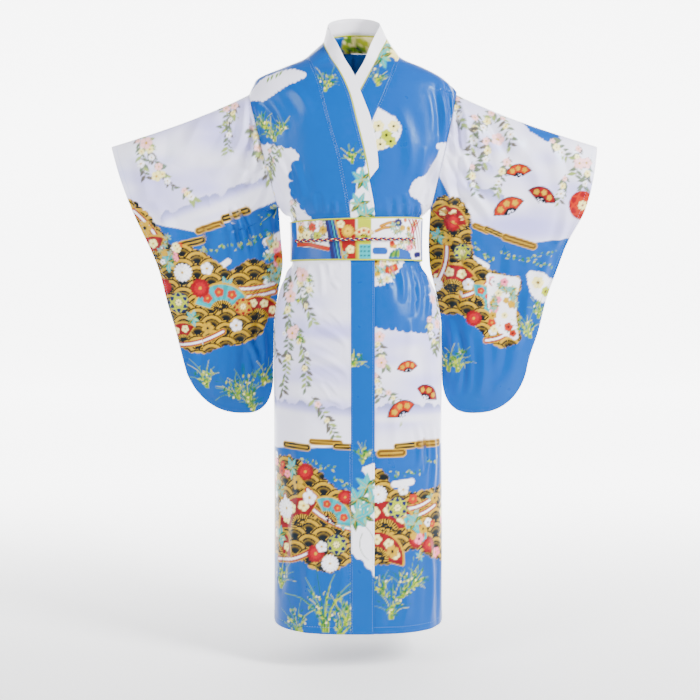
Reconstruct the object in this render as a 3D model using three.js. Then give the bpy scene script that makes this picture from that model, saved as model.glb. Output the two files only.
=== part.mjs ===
// A yukata robe with its own sash, filled out as it hangs when worn: an open body tube
// wrapped over in front, two long round-cornered sleeves, a standing neck band with a
// white inner collar, and a piped sash with a twisted cord. Millimetres, +Z up, front
// towards -Y, origin between the shoulders at the foot of the neck.
import * as THREE from "three";

// Cloth and trim
const WALL = 1.6; // cloth wall
const SASH_WALL = 2.4; // the sash is stiffened
const SEAM = 0.3; // gap between two pieces that are sewn together
const PIPING = 2.6; // thickness of the piping
const CORD = 7.2; // thickness of the sash cord

// Heights
const HEM_Z = -1332;
const SASH_BOTTOM_Z = -486;
const SASH_TOP_Z = -392;
const WAIST_Z = -440; // each long cloth is in two solids that meet here, under the sash
const UNDERARM_Z = -358;
const SHOULDER_Z = -90; // top of the armhole
const NAPE_Z = 27.5; // the neck band's seam at the centre of the back

// Layers
const NECK_HALF_WIDTH = 108; // the neck band's seam at the side of the neck
const OVERLAP_LIFT = 2.5; // the wearer's right front lies this far outside the left one
// The lift starts and is full at these places across, and at these heights below the neck
const OVERLAP_START = { x: -150, z: -14 };
const OVERLAP_FULL = { x: -105, z: -60 };
const SASH_CLEARANCE = 1.2; // between the sash and the cloth under it
const SASH_LAP = 0.03; // how far the sash's ends run past the middle of the back, in turns
const SASH_LAP_RISE = 0.06; // turns over which the outer end steps out for the lap
// The sash steps out over the lapped fronts between these two, by the sine of the angle
const SASH_OVER_FRONTS = { from: 0.15, to: -0.35 };
const SASH_TILT = 0.03; // rise of the sash's upper edge towards the wearer's left
const CORD_SPAN = { from: 0.345, to: 0.668 }; // ends of the cord, in turns of the sash
const CORD_SHARE = 0.49; // the cord's height on the sash, 0 its lower edge and 1 its upper

// Level sections of the body: half width, depth in front of and behind the side line,
// how far the middle stands to the wearer's left, and how square the corners are
const BODY = [
  { z: -1336, half: 199, front: 163, back: 152, shift: 11, square: 3 },
  { z: -1100, half: 199, front: 155, back: 149, shift: 11, square: 2.8 },
  { z: -900, half: 199, front: 146, back: 148, shift: 10, square: 2.6 },
  { z: -713, half: 200, front: 137, back: 150, shift: 10, square: 2.5 },
  { z: -629, half: 197, front: 130, back: 142, shift: 9, square: 2.4 },
  { z: -557, half: 184, front: 121, back: 126, shift: 8, square: 2.3 },
  { z: -514, half: 163, front: 111, back: 110, shift: 7, square: 2.3 },
  { z: -496, half: 153, front: 106, back: 102, shift: 7, square: 2.3 },
  { z: -440, half: 152, front: 105, back: 99, shift: 7, square: 2.3 },
  { z: -384, half: 154, front: 107, back: 100, shift: 7, square: 2.3 },
  { z: -371, half: 168, front: 111, back: 104, shift: 5, square: 2.3 },
  { z: -358, half: 181, front: 113, back: 106, shift: 3, square: 2.3 },
  { z: -339, half: 196, front: 114, back: 108, shift: 2, square: 2.3 },
  { z: -287, half: 223, front: 115, back: 112, shift: 1, square: 2.3 },
  { z: -220, half: 247, front: 114, back: 116, shift: 0, square: 2.3 },
  { z: -150, half: 261, front: 108, back: 115, shift: -1, square: 2.3 },
  { z: -110, half: 255, front: 101, back: 109, shift: -2, square: 2.3 },
  { z: -90, half: 246, front: 96, back: 105, shift: -2, square: 2.3 },
  { z: -72, half: 236, front: 91, back: 101, shift: -3, square: 2.3 },
  { z: -56, half: 223, front: 85, back: 97, shift: -7, square: 2.3 },
  { z: -30, half: 171, front: 71, back: 91, shift: -1, square: 2.3 },
  { z: -10, half: 123, front: 59, back: 87, shift: 0, square: 2.3 },
  { z: 0, half: 109, front: 54, back: 86, shift: 0, square: 2.3 },
  { z: 12, half: 105, front: 50, back: 86, shift: 0, square: 2.3 },
  { z: 30, half: 104, front: 46, back: 85, shift: 0, square: 2.3 },
];

// The neck band on each front, by the height of its seam. seam, edge and rim are how far
// the band's sewn seam, its piped edge and the white collar's free edge stand from the
// middle towards that front's own side. A y is given where they stand off the body.
const RIGHT_BAND = [
  { z: 0, seam: 108, edge: 71, edgeZ: 34, edgeY: 2, rim: 61, rimZ: 74, rimY: -4 },
  { z: -12, seam: 106, edge: 67, edgeZ: 19, edgeY: -24, rim: 53, rimZ: 50, rimY: -34 },
  { z: -30, seam: 99, edge: 57, edgeZ: -5, edgeY: -48, rim: 38, rimZ: 20, rimY: -57 },
  { z: -55, seam: 89, edge: 38, edgeZ: -40, rim: 20, rimZ: -18, rimY: -75 },
  { z: -80, seam: 79, edge: 20, edgeZ: -76, rim: -1, rimZ: -58 },
  { z: -110, seam: 72, edge: 7, edgeZ: -110, rim: -17, rimZ: -102 },
  { z: -170, seam: 57, edge: -8, edgeZ: -170, rim: -40, rimZ: -166 },
  { z: -251, seam: 34, edge: -28, edgeZ: -251, rim: -54, rimZ: -238 },
  { z: -302, seam: 24, edge: -37, edgeZ: -302, rim: -57, rimZ: -276 },
  { z: -389, seam: 10, edge: -50, edgeZ: -389 },
  { z: -484, seam: 7, edge: -50, edgeZ: -484 },
  { z: -1336, seam: 5, edge: -48, edgeZ: -1336 },
];
const LEFT_BAND = [
  { z: 0, seam: 108, edge: 80, edgeZ: 42, edgeY: 2, rim: 63, rimZ: 76, rimY: -4 },
  { z: -12, seam: 106, edge: 72, edgeZ: 23, edgeY: -24, rim: 54, rimZ: 51, rimY: -34 },
  { z: -30, seam: 99, edge: 60, edgeZ: -4, edgeY: -48, rim: 40, rimZ: 18, rimY: -57 },
  { z: -55, seam: 90, edge: 43, edgeZ: -42, rim: 25, rimZ: -22, rimY: -74 },
  { z: -80, seam: 79, edge: 26, edgeZ: -77, rim: 4, rimZ: -62 },
  { z: -110, seam: 68, edge: 9, edgeZ: -110, rim: -15, rimZ: -103 },
  { z: -170, seam: 42, edge: -20, edgeZ: -170, rim: -46, rimZ: -166 },
  { z: -251, seam: 12, edge: -50, edgeZ: -251 },
  { z: -389, seam: -30, edge: -85, edgeZ: -389 },
  { z: -484, seam: -32, edge: -86, edgeZ: -484 },
  { z: -1336, seam: -30, edge: -84, edgeZ: -1336 },
];
// At the nape the band stands up and leans back
const NAPE = { edgeY: 77, edgeZ: 70, rimY: 72, rimZ: 111 };
// Seam height at which the white collar stops on each front
const WHITE_END = { right: -302, left: -170 };
// Between these seam heights the neck band leaves the neck and settles on the chest
const BAND_FREE_Z = -25;
const BAND_FLAT_Z = -60;
// Between these its middle comes to lie on the chest too
const BAND_MIDDLE = { free: -30, flat: -80 };
// Share of the turn round the neck over which the seam settles on the body's back
const SEAM_SETTLES = 0.25;

// A sleeve in front view: distance of its inner and outer edge from the middle by height
const SLEEVE_INNER = [
  { z: -358, right: 179, left: 184 },
  { z: -437, right: 174, left: 180 },
  { z: -485, right: 170, left: 182 },
  { z: -557, right: 181, left: 198 },
  { z: -640, right: 192, left: 212 },
  { z: -760, right: 194, left: 214 },
  { z: -853, right: 191, left: 213 },
];
const SLEEVE_OUTER = [
  { z: -214, right: 578, left: 582 },
  { z: -293, right: 552, left: 568 },
  { z: -365, right: 525, left: 549 },
  { z: -437, right: 495, left: 514 },
  { z: -509, right: 467, left: 488 },
  { z: -581, right: 450, left: 464 },
  { z: -653, right: 430, left: 447 },
  { z: -725, right: 412, left: 424 },
  { z: -853, right: 377, left: 402 },
];
const SLEEVE = {
  bottomZ: -853,
  setOut: 1.7, // from the armhole's edge to the middle of the sleeve's wall
  drop: 700, // mean length from fold to foot
  width: { top: 340, foot: 185 },
  sag: 8, // of the top fold between shoulder and cuff
  hangBack: 22, // the hanging part swings this far behind the side line
  cuffShare: 0.37, // share of the outer edge left open for the hand
  cuffRoom: 26, // half the cuff's opening
  armRoom: { body: 62, cuff: 36 }, // half the depth where the arm goes
  hangRoom: { top: 26, foot: 17 }, // half the depth below the arm
  round: { fold: 75, armhole: 75, cuff: 70, foot: 85 }, // reach of the rounding at each edge
  cornerSplit: 0.4, // where along the foot the two round corners meet
  cornerRise: { inner: 0.135, outer: 0.2 }, // share of the drop that each corner takes
  cornerSquare: 2.5,
  cornerReach: 0.99, // share of a corner's curve that is used, short of its upright end
  edgeRoom: 0.58, // half the distance of front from back along a closed edge, in walls
  cuffRound: 0.8, // below 1 the cuff's opening is fuller than a plain arch
  crowding: 1.45, // above 1 the rows crowd towards the fold along the top
  foldShare: 0.02, // share of the fall over which front and back part at the fold
  smoothEnds: { top: 0.12, foot: 0.85 }, // shares of the drop between which it has folds
  armToHang: { from: 0.1, to: 0.5 }, // share of the drop where the arm's room ends
  swing: { from: 0.25, to: 0.7 }, // share of the drop over which it swings back
  slackTo: 0.5, // share of the drop at which the sag of the fold has died out
  slackLean: 0.8, // below 1 the fold sags most on the shoulder side
};

// Soft folds of the body, by angle round it in degrees: 0 is the wearer's left side, 90
// the back, 180 the right side and 270 the front
const BODY_FOLDS = [
  { angle: 336, top: -505, bottom: -1250, wide: 10, depth: 5 },
  { angle: 314, top: -520, bottom: -900, wide: 9, depth: -3.5 },
  { angle: 292, top: -500, bottom: -680, wide: 7, depth: 3 },
  { angle: 205, top: -505, bottom: -1000, wide: 10, depth: 4 },
  { angle: 228, top: -510, bottom: -760, wide: 8, depth: -3 },
  { angle: 20, top: -505, bottom: HEM_Z, wide: 9, depth: 5 },
  { angle: 42, top: -520, bottom: HEM_Z, wide: 9, depth: -5 },
  { angle: 66, top: -505, bottom: -1150, wide: 10, depth: 4 },
  { angle: 112, top: -505, bottom: HEM_Z, wide: 10, depth: 5 },
  { angle: 136, top: -520, bottom: -1200, wide: 9, depth: -5 },
  { angle: 160, top: -505, bottom: HEM_Z, wide: 9, depth: 5 },
  { angle: 306, top: -150, bottom: -384, wide: 10, depth: 4 },
  { angle: 226, top: -200, bottom: -384, wide: 9, depth: 3.5 },
  { angle: 60, top: -170, bottom: -384, wide: 11, depth: 5 },
  { angle: 84, top: -240, bottom: -384, wide: 8, depth: -3.5 },
  { angle: 118, top: -190, bottom: -384, wide: 11, depth: 5 },
];
const FOLD_FADE = 90; // height over which a fold of the body dies out
const ARMHOLE_SMOOTH = { from: 2, to: 20 }; // degrees beside the armhole without folds

// Soft folds of the sleeves: middle as shares across and down, length and width in mm,
// and lean of the lower end towards the body in degrees
const SLEEVE_FOLDS = {
  left: [
    { across: 0.1, down: 0.15, long: 200, wide: 16, lean: -8, depth: 5, panel: "front" },
    { across: 0.24, down: 0.2, long: 230, wide: 20, lean: 14, depth: -4, panel: "front" },
    { across: 0.3, down: 0.62, long: 330, wide: 28, lean: 8, depth: 5, panel: "front" },
    { across: 0.72, down: 0.6, long: 300, wide: 30, lean: -6, depth: -4, panel: "front" },
    { across: 0.22, down: 0.3, long: 260, wide: 22, lean: 10, depth: 5, panel: "back" },
    { across: 0.55, down: 0.6, long: 340, wide: 30, lean: 6, depth: 5, panel: "back" },
  ],
  right: [
    { across: 0.2, down: 0.2, long: 200, wide: 18, lean: 10, depth: 4, panel: "front" },
    { across: 0.42, down: 0.5, long: 340, wide: 26, lean: 12, depth: 5, panel: "front" },
    { across: 0.68, down: 0.52, long: 300, wide: 28, lean: 4, depth: -4, panel: "front" },
    { across: 0.15, down: 0.66, long: 260, wide: 24, lean: 2, depth: 4, panel: "front" },
    { across: 0.3, down: 0.28, long: 260, wide: 22, lean: 12, depth: 5, panel: "back" },
    { across: 0.6, down: 0.6, long: 340, wide: 30, lean: 5, depth: -5, panel: "back" },
  ],
};

// Heights of the rows of a front panel, closer where the form turns
const FRONT_ROWS = [
  HEM_Z, -1240, -1140, -1040, -940, -850, -770, -710, -660, -620, -585, -555, -532, -514,
  -496, -440, -384, -371, -358, -342, -322, -295, -265, -230, -195, -160, -130, -108, -92,
  -78, -64, -52, -40, -30, -21, -13, -7,
];
// A back panel goes on up to the nape
const BACK_ROWS = [...FRONT_ROWS, -1, 6, 13, 19, 24];
// The rows of a long cloth's two solids
const HALVES = {
  lower: (rows) => [...rows.filter((z) => z < WAIST_Z), WAIST_Z - SEAM / 2],
  upper: (rows) => [WAIST_Z + SEAM / 2, ...rows.filter((z) => z > WAIST_Z)],
};
// Faces across each piece
const FACES = { front: 13, back: 12, band: 3, white: 2, sleeve: 10, sleeveFall: 17, sash: 44, cord: 24 };
// Faces round each strand
const SIDES = { piping: 6, cord: 8 };

const lerp = (a, b, t) => a + (b - a) * t;
const clamp01 = (t) => Math.min(1, Math.max(0, t));
const radians = (degrees) => (degrees * Math.PI) / 180;
const signedPower = (value, power) => Math.sign(value) * Math.abs(value) ** power;
const steps = (count) => Array.from({ length: count + 1 }, (_, i) => i / count);
const smooth = (from, to, t) => {
  const s = clamp01((t - from) / (to - from));
  return s * s * (3 - 2 * s);
};

// A monotone cubic through a table's rows: one column as a function of height
function curve(rows, column) {
  const given = rows.filter((row) => row[column] !== undefined).sort((a, b) => a.z - b.z);
  const zs = given.map((row) => row.z);
  const values = given.map((row) => row[column]);
  const last = zs.length - 1;
  const slopes = zs.slice(1).map((z, i) => (values[i + 1] - values[i]) / (z - zs[i]));
  const tangents = values.map((_, i) => {
    if (i === 0) return slopes[0];
    if (i === last) return slopes[last - 1];
    const [below, above] = [slopes[i - 1], slopes[i]];
    return below * above <= 0 ? 0 : (2 * below * above) / (below + above);
  });
  return (z) => {
    if (z <= zs[0]) return values[0];
    if (z >= zs[last]) return values[last];
    const i = zs.findIndex((next) => next > z) - 1;
    const step = zs[i + 1] - zs[i];
    const t = (z - zs[i]) / step;
    const [t2, t3] = [t * t, t * t * t];
    return (
      (2 * t3 - 3 * t2 + 1) * values[i] +
      (t3 - 2 * t2 + t) * step * tangents[i] +
      (3 * t2 - 2 * t3) * values[i + 1] +
      (t3 - t2) * step * tangents[i + 1]
    );
  };
}

// A geometry from points and triangles, turned so that its faces point outwards
function closedGeometry(positions, index) {
  const point = (i) => new THREE.Vector3().fromArray(positions, 3 * i);
  let volume = 0;
  for (let k = 0; k < index.length; k += 3) {
    const [a, b, c] = [point(index[k]), point(index[k + 1]), point(index[k + 2])];
    volume += a.dot(b.cross(c));
  }
  if (volume < 0) index.reverse();
  const geometry = new THREE.BufferGeometry();
  geometry.setAttribute("position", new THREE.Float32BufferAttribute(positions, 3));
  geometry.setIndex(index);
  return geometry;
}

// A cloth wall: a grid of points set out to both sides of a middle surface along its
// normals, closed round the rim
function clothWall(place, us, vs, wall) {
  const NEAR = 1e-3;
  const normalAt = (u, v) => {
    const alongU = place(u + NEAR, v).sub(place(u - NEAR, v));
    const alongV = place(u, v + NEAR).sub(place(u, v - NEAR));
    return alongU.cross(alongV).normalize();
  };
  const [columns, rows] = [us.length, vs.length];
  const positions = [];
  for (const side of [0.5, -0.5]) {
    for (const v of vs) {
      for (const u of us) {
        const p = place(u, v).addScaledVector(normalAt(u, v), side * wall);
        positions.push(p.x, p.y, p.z);
      }
    }
  }
  const inner = columns * rows; // number of the first point on the other side
  const at = (i, j) => j * columns + i;
  const index = [];
  const quad = (a, b, c, d) => index.push(a, b, c, a, c, d);
  for (let j = 0; j < rows - 1; j += 1) {
    for (let i = 0; i < columns - 1; i += 1) {
      const [a, b, c, d] = [at(i, j), at(i + 1, j), at(i + 1, j + 1), at(i, j + 1)];
      quad(a, b, c, d);
      quad(inner + a, inner + d, inner + c, inner + b);
    }
  }
  const rim = [];
  for (let i = 0; i < columns - 1; i += 1) rim.push(at(i, 0));
  for (let j = 0; j < rows - 1; j += 1) rim.push(at(columns - 1, j));
  for (let i = columns - 1; i > 0; i -= 1) rim.push(at(i, rows - 1));
  for (let j = rows - 1; j > 0; j -= 1) rim.push(at(0, j));
  rim.forEach((a, k) => {
    const b = rim[(k + 1) % rim.length];
    quad(b, a, inner + a, inner + b);
  });
  return closedGeometry(positions, index);
}

// A round strand along a path, capped flat at both ends. across(t) is a direction that
// the strand's corners are counted from.
function strand(path, across, ts, thickness, sides) {
  const NEAR = 1e-3;
  const positions = [];
  for (const t of ts) {
    const along = path(t + NEAR).sub(path(t - NEAR)).normalize();
    const out = across(t).addScaledVector(along, -across(t).dot(along)).normalize();
    const other = along.clone().cross(out);
    for (let k = 0; k < sides; k += 1) {
      const turn = (2 * Math.PI * (k + 0.5)) / sides;
      const p = path(t)
        .addScaledVector(out, (thickness / 2) * Math.cos(turn))
        .addScaledVector(other, (thickness / 2) * Math.sin(turn));
      positions.push(p.x, p.y, p.z);
    }
  }
  const index = [];
  for (let j = 0; j < ts.length - 1; j += 1) {
    for (let k = 0; k < sides; k += 1) {
      const [a, b] = [j * sides + k, j * sides + ((k + 1) % sides)];
      index.push(a, b, b + sides, a, b + sides, a + sides);
    }
  }
  const end = (ts.length - 1) * sides;
  for (let k = 1; k < sides - 1; k += 1) {
    index.push(0, k + 1, k, end, end + k, end + k + 1);
  }
  return closedGeometry(positions, index);
}

// The body's surface, folds included
const body = {};
for (const column of ["half", "front", "back", "shift", "square"]) {
  body[column] = curve(BODY, column);
}

// The armhole's edge leans out from the underarm to the shoulder
function armholeX(z) {
  const [low, high] = [body.half(UNDERARM_Z), body.half(SHOULDER_Z)];
  return lerp(low, high, (z - UNDERARM_Z) / (SHOULDER_Z - UNDERARM_Z));
}

// The angle off the side line at which the body stands this far from its own middle
function angleAt(distance, z) {
  const share = THREE.MathUtils.clamp(distance / body.half(z), -1, 1);
  return Math.acos(signedPower(share, body.square(z) / 2));
}

// How far off the side line the armhole's edge stands, as an angle
function armholeAngle(z) {
  if (z <= UNDERARM_Z || z >= SHOULDER_Z) return 0;
  return angleAt(armholeX(z), z);
}

function bodyFold(angle, z) {
  const offSide = Math.asin(Math.abs(Math.sin(angle)));
  const { from, to } = ARMHOLE_SMOOTH;
  const beside = smooth(radians(from), radians(to), offSide - armholeAngle(z));
  const kept = lerp(1, beside, smooth(UNDERARM_Z - FOLD_FADE / 2, UNDERARM_Z, z));
  let depth = 0;
  for (const fold of BODY_FOLDS) {
    const turn = ((THREE.MathUtils.radToDeg(angle) - fold.angle + 540) % 360) - 180;
    const across = Math.exp(-((turn / fold.wide) ** 2));
    const begun = smooth(fold.top, fold.top - FOLD_FADE, z);
    const lasting = fold.bottom > HEM_Z ? smooth(fold.bottom, fold.bottom + FOLD_FADE, z) : 1;
    depth += fold.depth * across * begun * lasting;
  }
  return depth * kept;
}

// Level direction straight out of the body
function bodyOut(angle, z) {
  const power = 2 / body.square(z);
  const deep = Math.sin(angle) > 0 ? body.back(z) : body.front(z);
  const x = signedPower(Math.cos(angle), power) / body.half(z);
  const y = signedPower(Math.sin(angle), power) / deep;
  return new THREE.Vector3(x, y, 0).normalize();
}

function bodyPoint(angle, z) {
  const power = 2 / body.square(z);
  const deep = Math.sin(angle) > 0 ? body.back(z) : body.front(z);
  const x = body.shift(z) + body.half(z) * signedPower(Math.cos(angle), power);
  const y = deep * signedPower(Math.sin(angle), power);
  return new THREE.Vector3(x, y, z).addScaledVector(bodyOut(angle, z), bodyFold(angle, z));
}

const frontAngle = (x, z) => 2 * Math.PI - angleAt(x - body.shift(z), z);

// The two fronts, each with its neck band. sign is the side it starts from.
const FRONTS = {
  right: { sign: -1, rows: RIGHT_BAND },
  left: { sign: 1, rows: LEFT_BAND },
};
for (const front of Object.values(FRONTS)) {
  for (const column of ["seam", "edge", "edgeZ", "edgeY", "rim", "rimZ", "rimY"]) {
    front[column] = curve(front.rows, column);
  }
}

// The right front and its band are set out over the left front
function liftOver(p, side) {
  const lift = side === "right" ? OVERLAP_LIFT : 0;
  p.y -= SEAM / 2;
  p.y -=
    lift * smooth(OVERLAP_START.x, OVERLAP_FULL.x, p.x) *
    smooth(OVERLAP_START.z, OVERLAP_FULL.z, p.z);
  return p;
}
const onFront = (side, x, z) => liftOver(bodyPoint(frontAngle(x, z), z), side);

// Height along a list of rows, going on a little past both ends
const rowHeight = (rows) => (v) => {
  const at = clamp01(v) * (rows.length - 1);
  const i = Math.min(rows.length - 2, Math.floor(at));
  const PAST = 10;
  return lerp(rows[i], rows[i + 1], at - i) + (v - clamp01(v)) * PAST;
};

function frontPanel(side, half) {
  const { sign, seam } = FRONTS[side];
  const rows = HALVES[half](FRONT_ROWS);
  const height = rowHeight(rows);
  const place = (u, v) => {
    const z = height(v);
    const atSeam = frontAngle(sign * (seam(z) + SEAM / 2), z);
    const atSide = side === "right" ? Math.PI + armholeAngle(z) : 2 * Math.PI - armholeAngle(z);
    return liftOver(bodyPoint(lerp(atSeam, atSide, u), z), side);
  };
  return clothWall(place, steps(FACES.front), steps(rows.length - 1), WALL);
}

// The back neckline is an arc from the side of the neck up to the nape
const necklineX = (z) => NECK_HALF_WIDTH * Math.sqrt(Math.max(0, 1 - (z / NAPE_Z) ** 2));
const necklineAngle = (z) => (z > 0 ? angleAt(necklineX(z), z) : 0);

function backPanel(side, half) {
  const { sign } = FRONTS[side];
  const rows = HALVES[half](BACK_ROWS);
  const height = rowHeight(rows);
  const place = (u, v) => {
    const z = height(v);
    const outer = Math.max(armholeAngle(z), necklineAngle(z));
    const middle = angleAt(SEAM / 2 - sign * body.shift(z), z);
    const off = lerp(outer, middle, u);
    const p = bodyPoint(side === "right" ? Math.PI - off : off, z);
    p.y += SEAM / 2;
    return p;
  };
  return clothWall(place, steps(FACES.back), steps(rows.length - 1), WALL);
}

// Seam, edge and rim of the neck band round the back of the neck: turn is 0 at the side
// of the neck and 1 at the nape
function neckStation(side, turn) {
  const { sign, edge, edgeZ, edgeY, rim, rimZ, rimY } = FRONTS[side];
  const [c, s] = [Math.cos((turn * Math.PI) / 2), Math.sin((turn * Math.PI) / 2)];
  const z = NAPE_Z * s;
  const seamY = bodyPoint(necklineAngle(z), z).y * smooth(0, SEAM_SETTLES, turn);
  return {
    seam: new THREE.Vector3(sign * NECK_HALF_WIDTH * c, seamY, z),
    edge: new THREE.Vector3(
      sign * edge(0) * c,
      lerp(edgeY(0), NAPE.edgeY, s),
      lerp(edgeZ(0), NAPE.edgeZ, s),
    ),
    rim: new THREE.Vector3(
      sign * rim(0) * c,
      lerp(rimY(0), NAPE.rimY, s),
      lerp(rimZ(0), NAPE.rimZ, s),
    ),
  };
}

// The same on a front, at a seam height
function frontStation(side, z) {
  const front = FRONTS[side];
  const standing = smooth(BAND_FLAT_Z, BAND_FREE_Z, z);
  const stand = (x, height, y) => {
    const lying = onFront(side, front.sign * x, Math.min(height, 0));
    return new THREE.Vector3(lying.x, lerp(lying.y, y, standing), height);
  };
  return {
    seam: onFront(side, front.sign * front.seam(z), z),
    edge: stand(front.edge(z), front.edgeZ(z), front.edgeY(z)),
    rim: stand(front.rim(z), front.rimZ(z), front.rimY(z)),
  };
}

// The neck band's path: t is 0 at the nape and 1 at the side of the neck, and beyond
// that the seam's drop down the front in metres
const pathAt = (z) => 1 - z / 1000;
function station(side, t) {
  return t > 1 ? frontStation(side, (1 - t) * 1000) : neckStation(side, 1 - t);
}

// A point of the neck band, share 0 at its seam and 1 at its edge
function bandPoint(side, t, share) {
  const { seam, edge } = station(side, t);
  const p = seam.clone().lerp(edge, share);
  if (t <= 1) return p;
  const lying = onFront(side, p.x, Math.min(p.z, -1));
  const flat = smooth(pathAt(BAND_MIDDLE.free), pathAt(BAND_MIDDLE.flat), t);
  p.y = lerp(p.y, lying.y, flat);
  return p;
}

// Path values from the nape down one front to an end height
const NECK_STEPS = 8;
const LEAST_ROW = 4; // a row closer than this to the end is left out
function pathDown(endZ) {
  const heights = FRONT_ROWS.filter((z) => z > endZ + LEAST_ROW).reverse();
  return [...steps(NECK_STEPS), ...heights.map(pathAt), pathAt(endZ)];
}
// A share of the way along such values
const alongPath = (values) => (v) => {
  const at = v * (values.length - 1);
  const i = THREE.MathUtils.clamp(Math.floor(at), 0, values.length - 2);
  return lerp(values[i], values[i + 1], at - i);
};
// Both fronts' paths in one, counted negative on the wearer's right
function pathRound(rightEnd, leftEnd) {
  const right = pathDown(rightEnd).map((t) => -t).reverse();
  return [...right, ...pathDown(leftEnd).slice(1)];
}
const stationRound = (t) => station(t < 0 ? "right" : "left", Math.abs(t));

// One half of the neck band: its upper solid runs from the nape to the waist and its
// lower one from there to the hem
function neckBand(side, half) {
  const fromWaist = [...HALVES.lower(FRONT_ROWS)].reverse().map(pathAt);
  const path = half === "upper" ? pathDown(WAIST_Z + SEAM / 2) : fromWaist;
  const at = alongPath(path);
  const place = (u, v) => {
    const t = at(v);
    const { seam, edge } = station(side, t);
    const width = seam.distanceTo(edge);
    const from = (4 * SEAM) / width;
    const to = 1 - (2 * SEAM + PIPING / 2) / width;
    const p = bandPoint(side, t, lerp(from, to, u));
    p.x += FRONTS[side].sign * (SEAM / 2) * (1 - smooth(0, 1 / NECK_STEPS, t));
    return p;
  };
  return clothWall(place, steps(FACES.band), steps(path.length - 1), WALL);
}

function whiteCollar() {
  const path = pathRound(WHITE_END.right, WHITE_END.left);
  const at = alongPath(path);
  const place = (u, v) => {
    const { edge, rim } = stationRound(at(v));
    const from = (3 * SEAM + PIPING / 2) / edge.distanceTo(rim);
    return edge.clone().lerp(rim, lerp(from, 1, u));
  };
  return clothWall(place, steps(FACES.white), steps(path.length - 1), WALL);
}

function collarPiping() {
  const path = pathRound(WHITE_END.right, WHITE_END.left);
  const at = alongPath(path);
  const middle = (v) => stationRound(at(v)).edge;
  const across = (v) => {
    const { seam, edge } = stationRound(at(v));
    return edge.clone().sub(seam);
  };
  return strand(middle, across, steps(path.length - 1), PIPING, SIDES.piping);
}

// The sash's middle surface, set out from the body. turn runs from 0 at the middle of
// the back round the wearer's left to 1, and a little past both ends, which lap.
function sashPoint(turn, share, out) {
  const z = lerp(SASH_BOTTOM_Z, SASH_TOP_Z, share);
  const angle = Math.PI / 2 - 2 * Math.PI * turn;
  const { from, to } = SASH_OVER_FRONTS;
  const overFront = smooth(from, to, Math.sin(angle)) * OVERLAP_LIFT;
  const lap = smooth(1 - SASH_LAP - SASH_LAP_RISE, 1 - SASH_LAP, turn);
  const overEnd = lap * (SASH_WALL + SEAM);
  const away = WALL / 2 + SASH_CLEARANCE + SASH_WALL / 2 + overFront + overEnd + out;
  const p = bodyPoint(angle, z).addScaledVector(bodyOut(angle, z), away);
  p.z += SASH_TILT * p.x * share;
  return p;
}
const sashTurn = (u) => lerp(-SASH_LAP, 1 + SASH_LAP, u);

function sash() {
  const edge = (PIPING / 2 + SEAM) / (SASH_TOP_Z - SASH_BOTTOM_Z);
  const place = (u, v) => sashPoint(sashTurn(u), lerp(edge, 1 - edge, v), 0);
  return clothWall(place, steps(FACES.sash), steps(2), SASH_WALL);
}

const upwards = () => new THREE.Vector3(0, 0, 1);

function sashPiping(share) {
  const middle = (u) => sashPoint(sashTurn(u), share, 0);
  return strand(middle, upwards, steps(FACES.sash), PIPING, SIDES.piping);
}

// The cord lies across the front of the sash and is sewn down at both ends
function sashCord() {
  const out = SASH_WALL / 2 + SEAM + CORD / 2;
  const middle = (u) => sashPoint(lerp(CORD_SPAN.from, CORD_SPAN.to, u), CORD_SHARE, out);
  return strand(middle, upwards, steps(FACES.cord), CORD, SIDES.cord);
}

// A sleeve is one cloth folded along its top. across runs from the armhole at 0 to the
// cuff edge at 1. fall runs from -1 at the foot of the front over the fold at 0 to 1 at
// the foot of the back. down is the share of the whole drop.
const quarterRise = (reached, over) => Math.sin((Math.PI / 2) * clamp01(reached / over));

function sleeveFoot(across) {
  const { cornerSplit, cornerRise, cornerSquare, cornerReach } = SLEEVE;
  const inner = across < cornerSplit;
  const off = inner ? cornerSplit - across : across - cornerSplit;
  const share = clamp01(off / (inner ? cornerSplit : 1 - cornerSplit)) * cornerReach;
  const round = (1 - share ** cornerSquare) ** (1 / cornerSquare);
  return 1 - (inner ? cornerRise.inner : cornerRise.outer) * (1 - round);
}

function sleeveFold(side, panel, across, down) {
  const width = lerp(SLEEVE.width.top, SLEEVE.width.foot, down);
  let depth = 0;
  for (const fold of SLEEVE_FOLDS[side]) {
    if (fold.panel !== panel) continue;
    const [dx, dz] = [(across - fold.across) * width, (down - fold.down) * SLEEVE.drop];
    const [c, s] = [Math.cos(radians(fold.lean)), Math.sin(radians(fold.lean))];
    const window = Math.exp(-(((dz * c - dx * s) / (fold.long / 2)) ** 4));
    depth += fold.depth * Math.exp(-(((dx * c + dz * s) / fold.wide) ** 2)) * window;
  }
  const { armhole, cuff } = SLEEVE.round;
  const edges = quarterRise(across * width, armhole) * quarterRise((1 - across) * width, cuff);
  const { top, foot } = SLEEVE.smoothEnds;
  return depth * edges * smooth(0, top, down) * smooth(1, foot, down);
}

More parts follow.
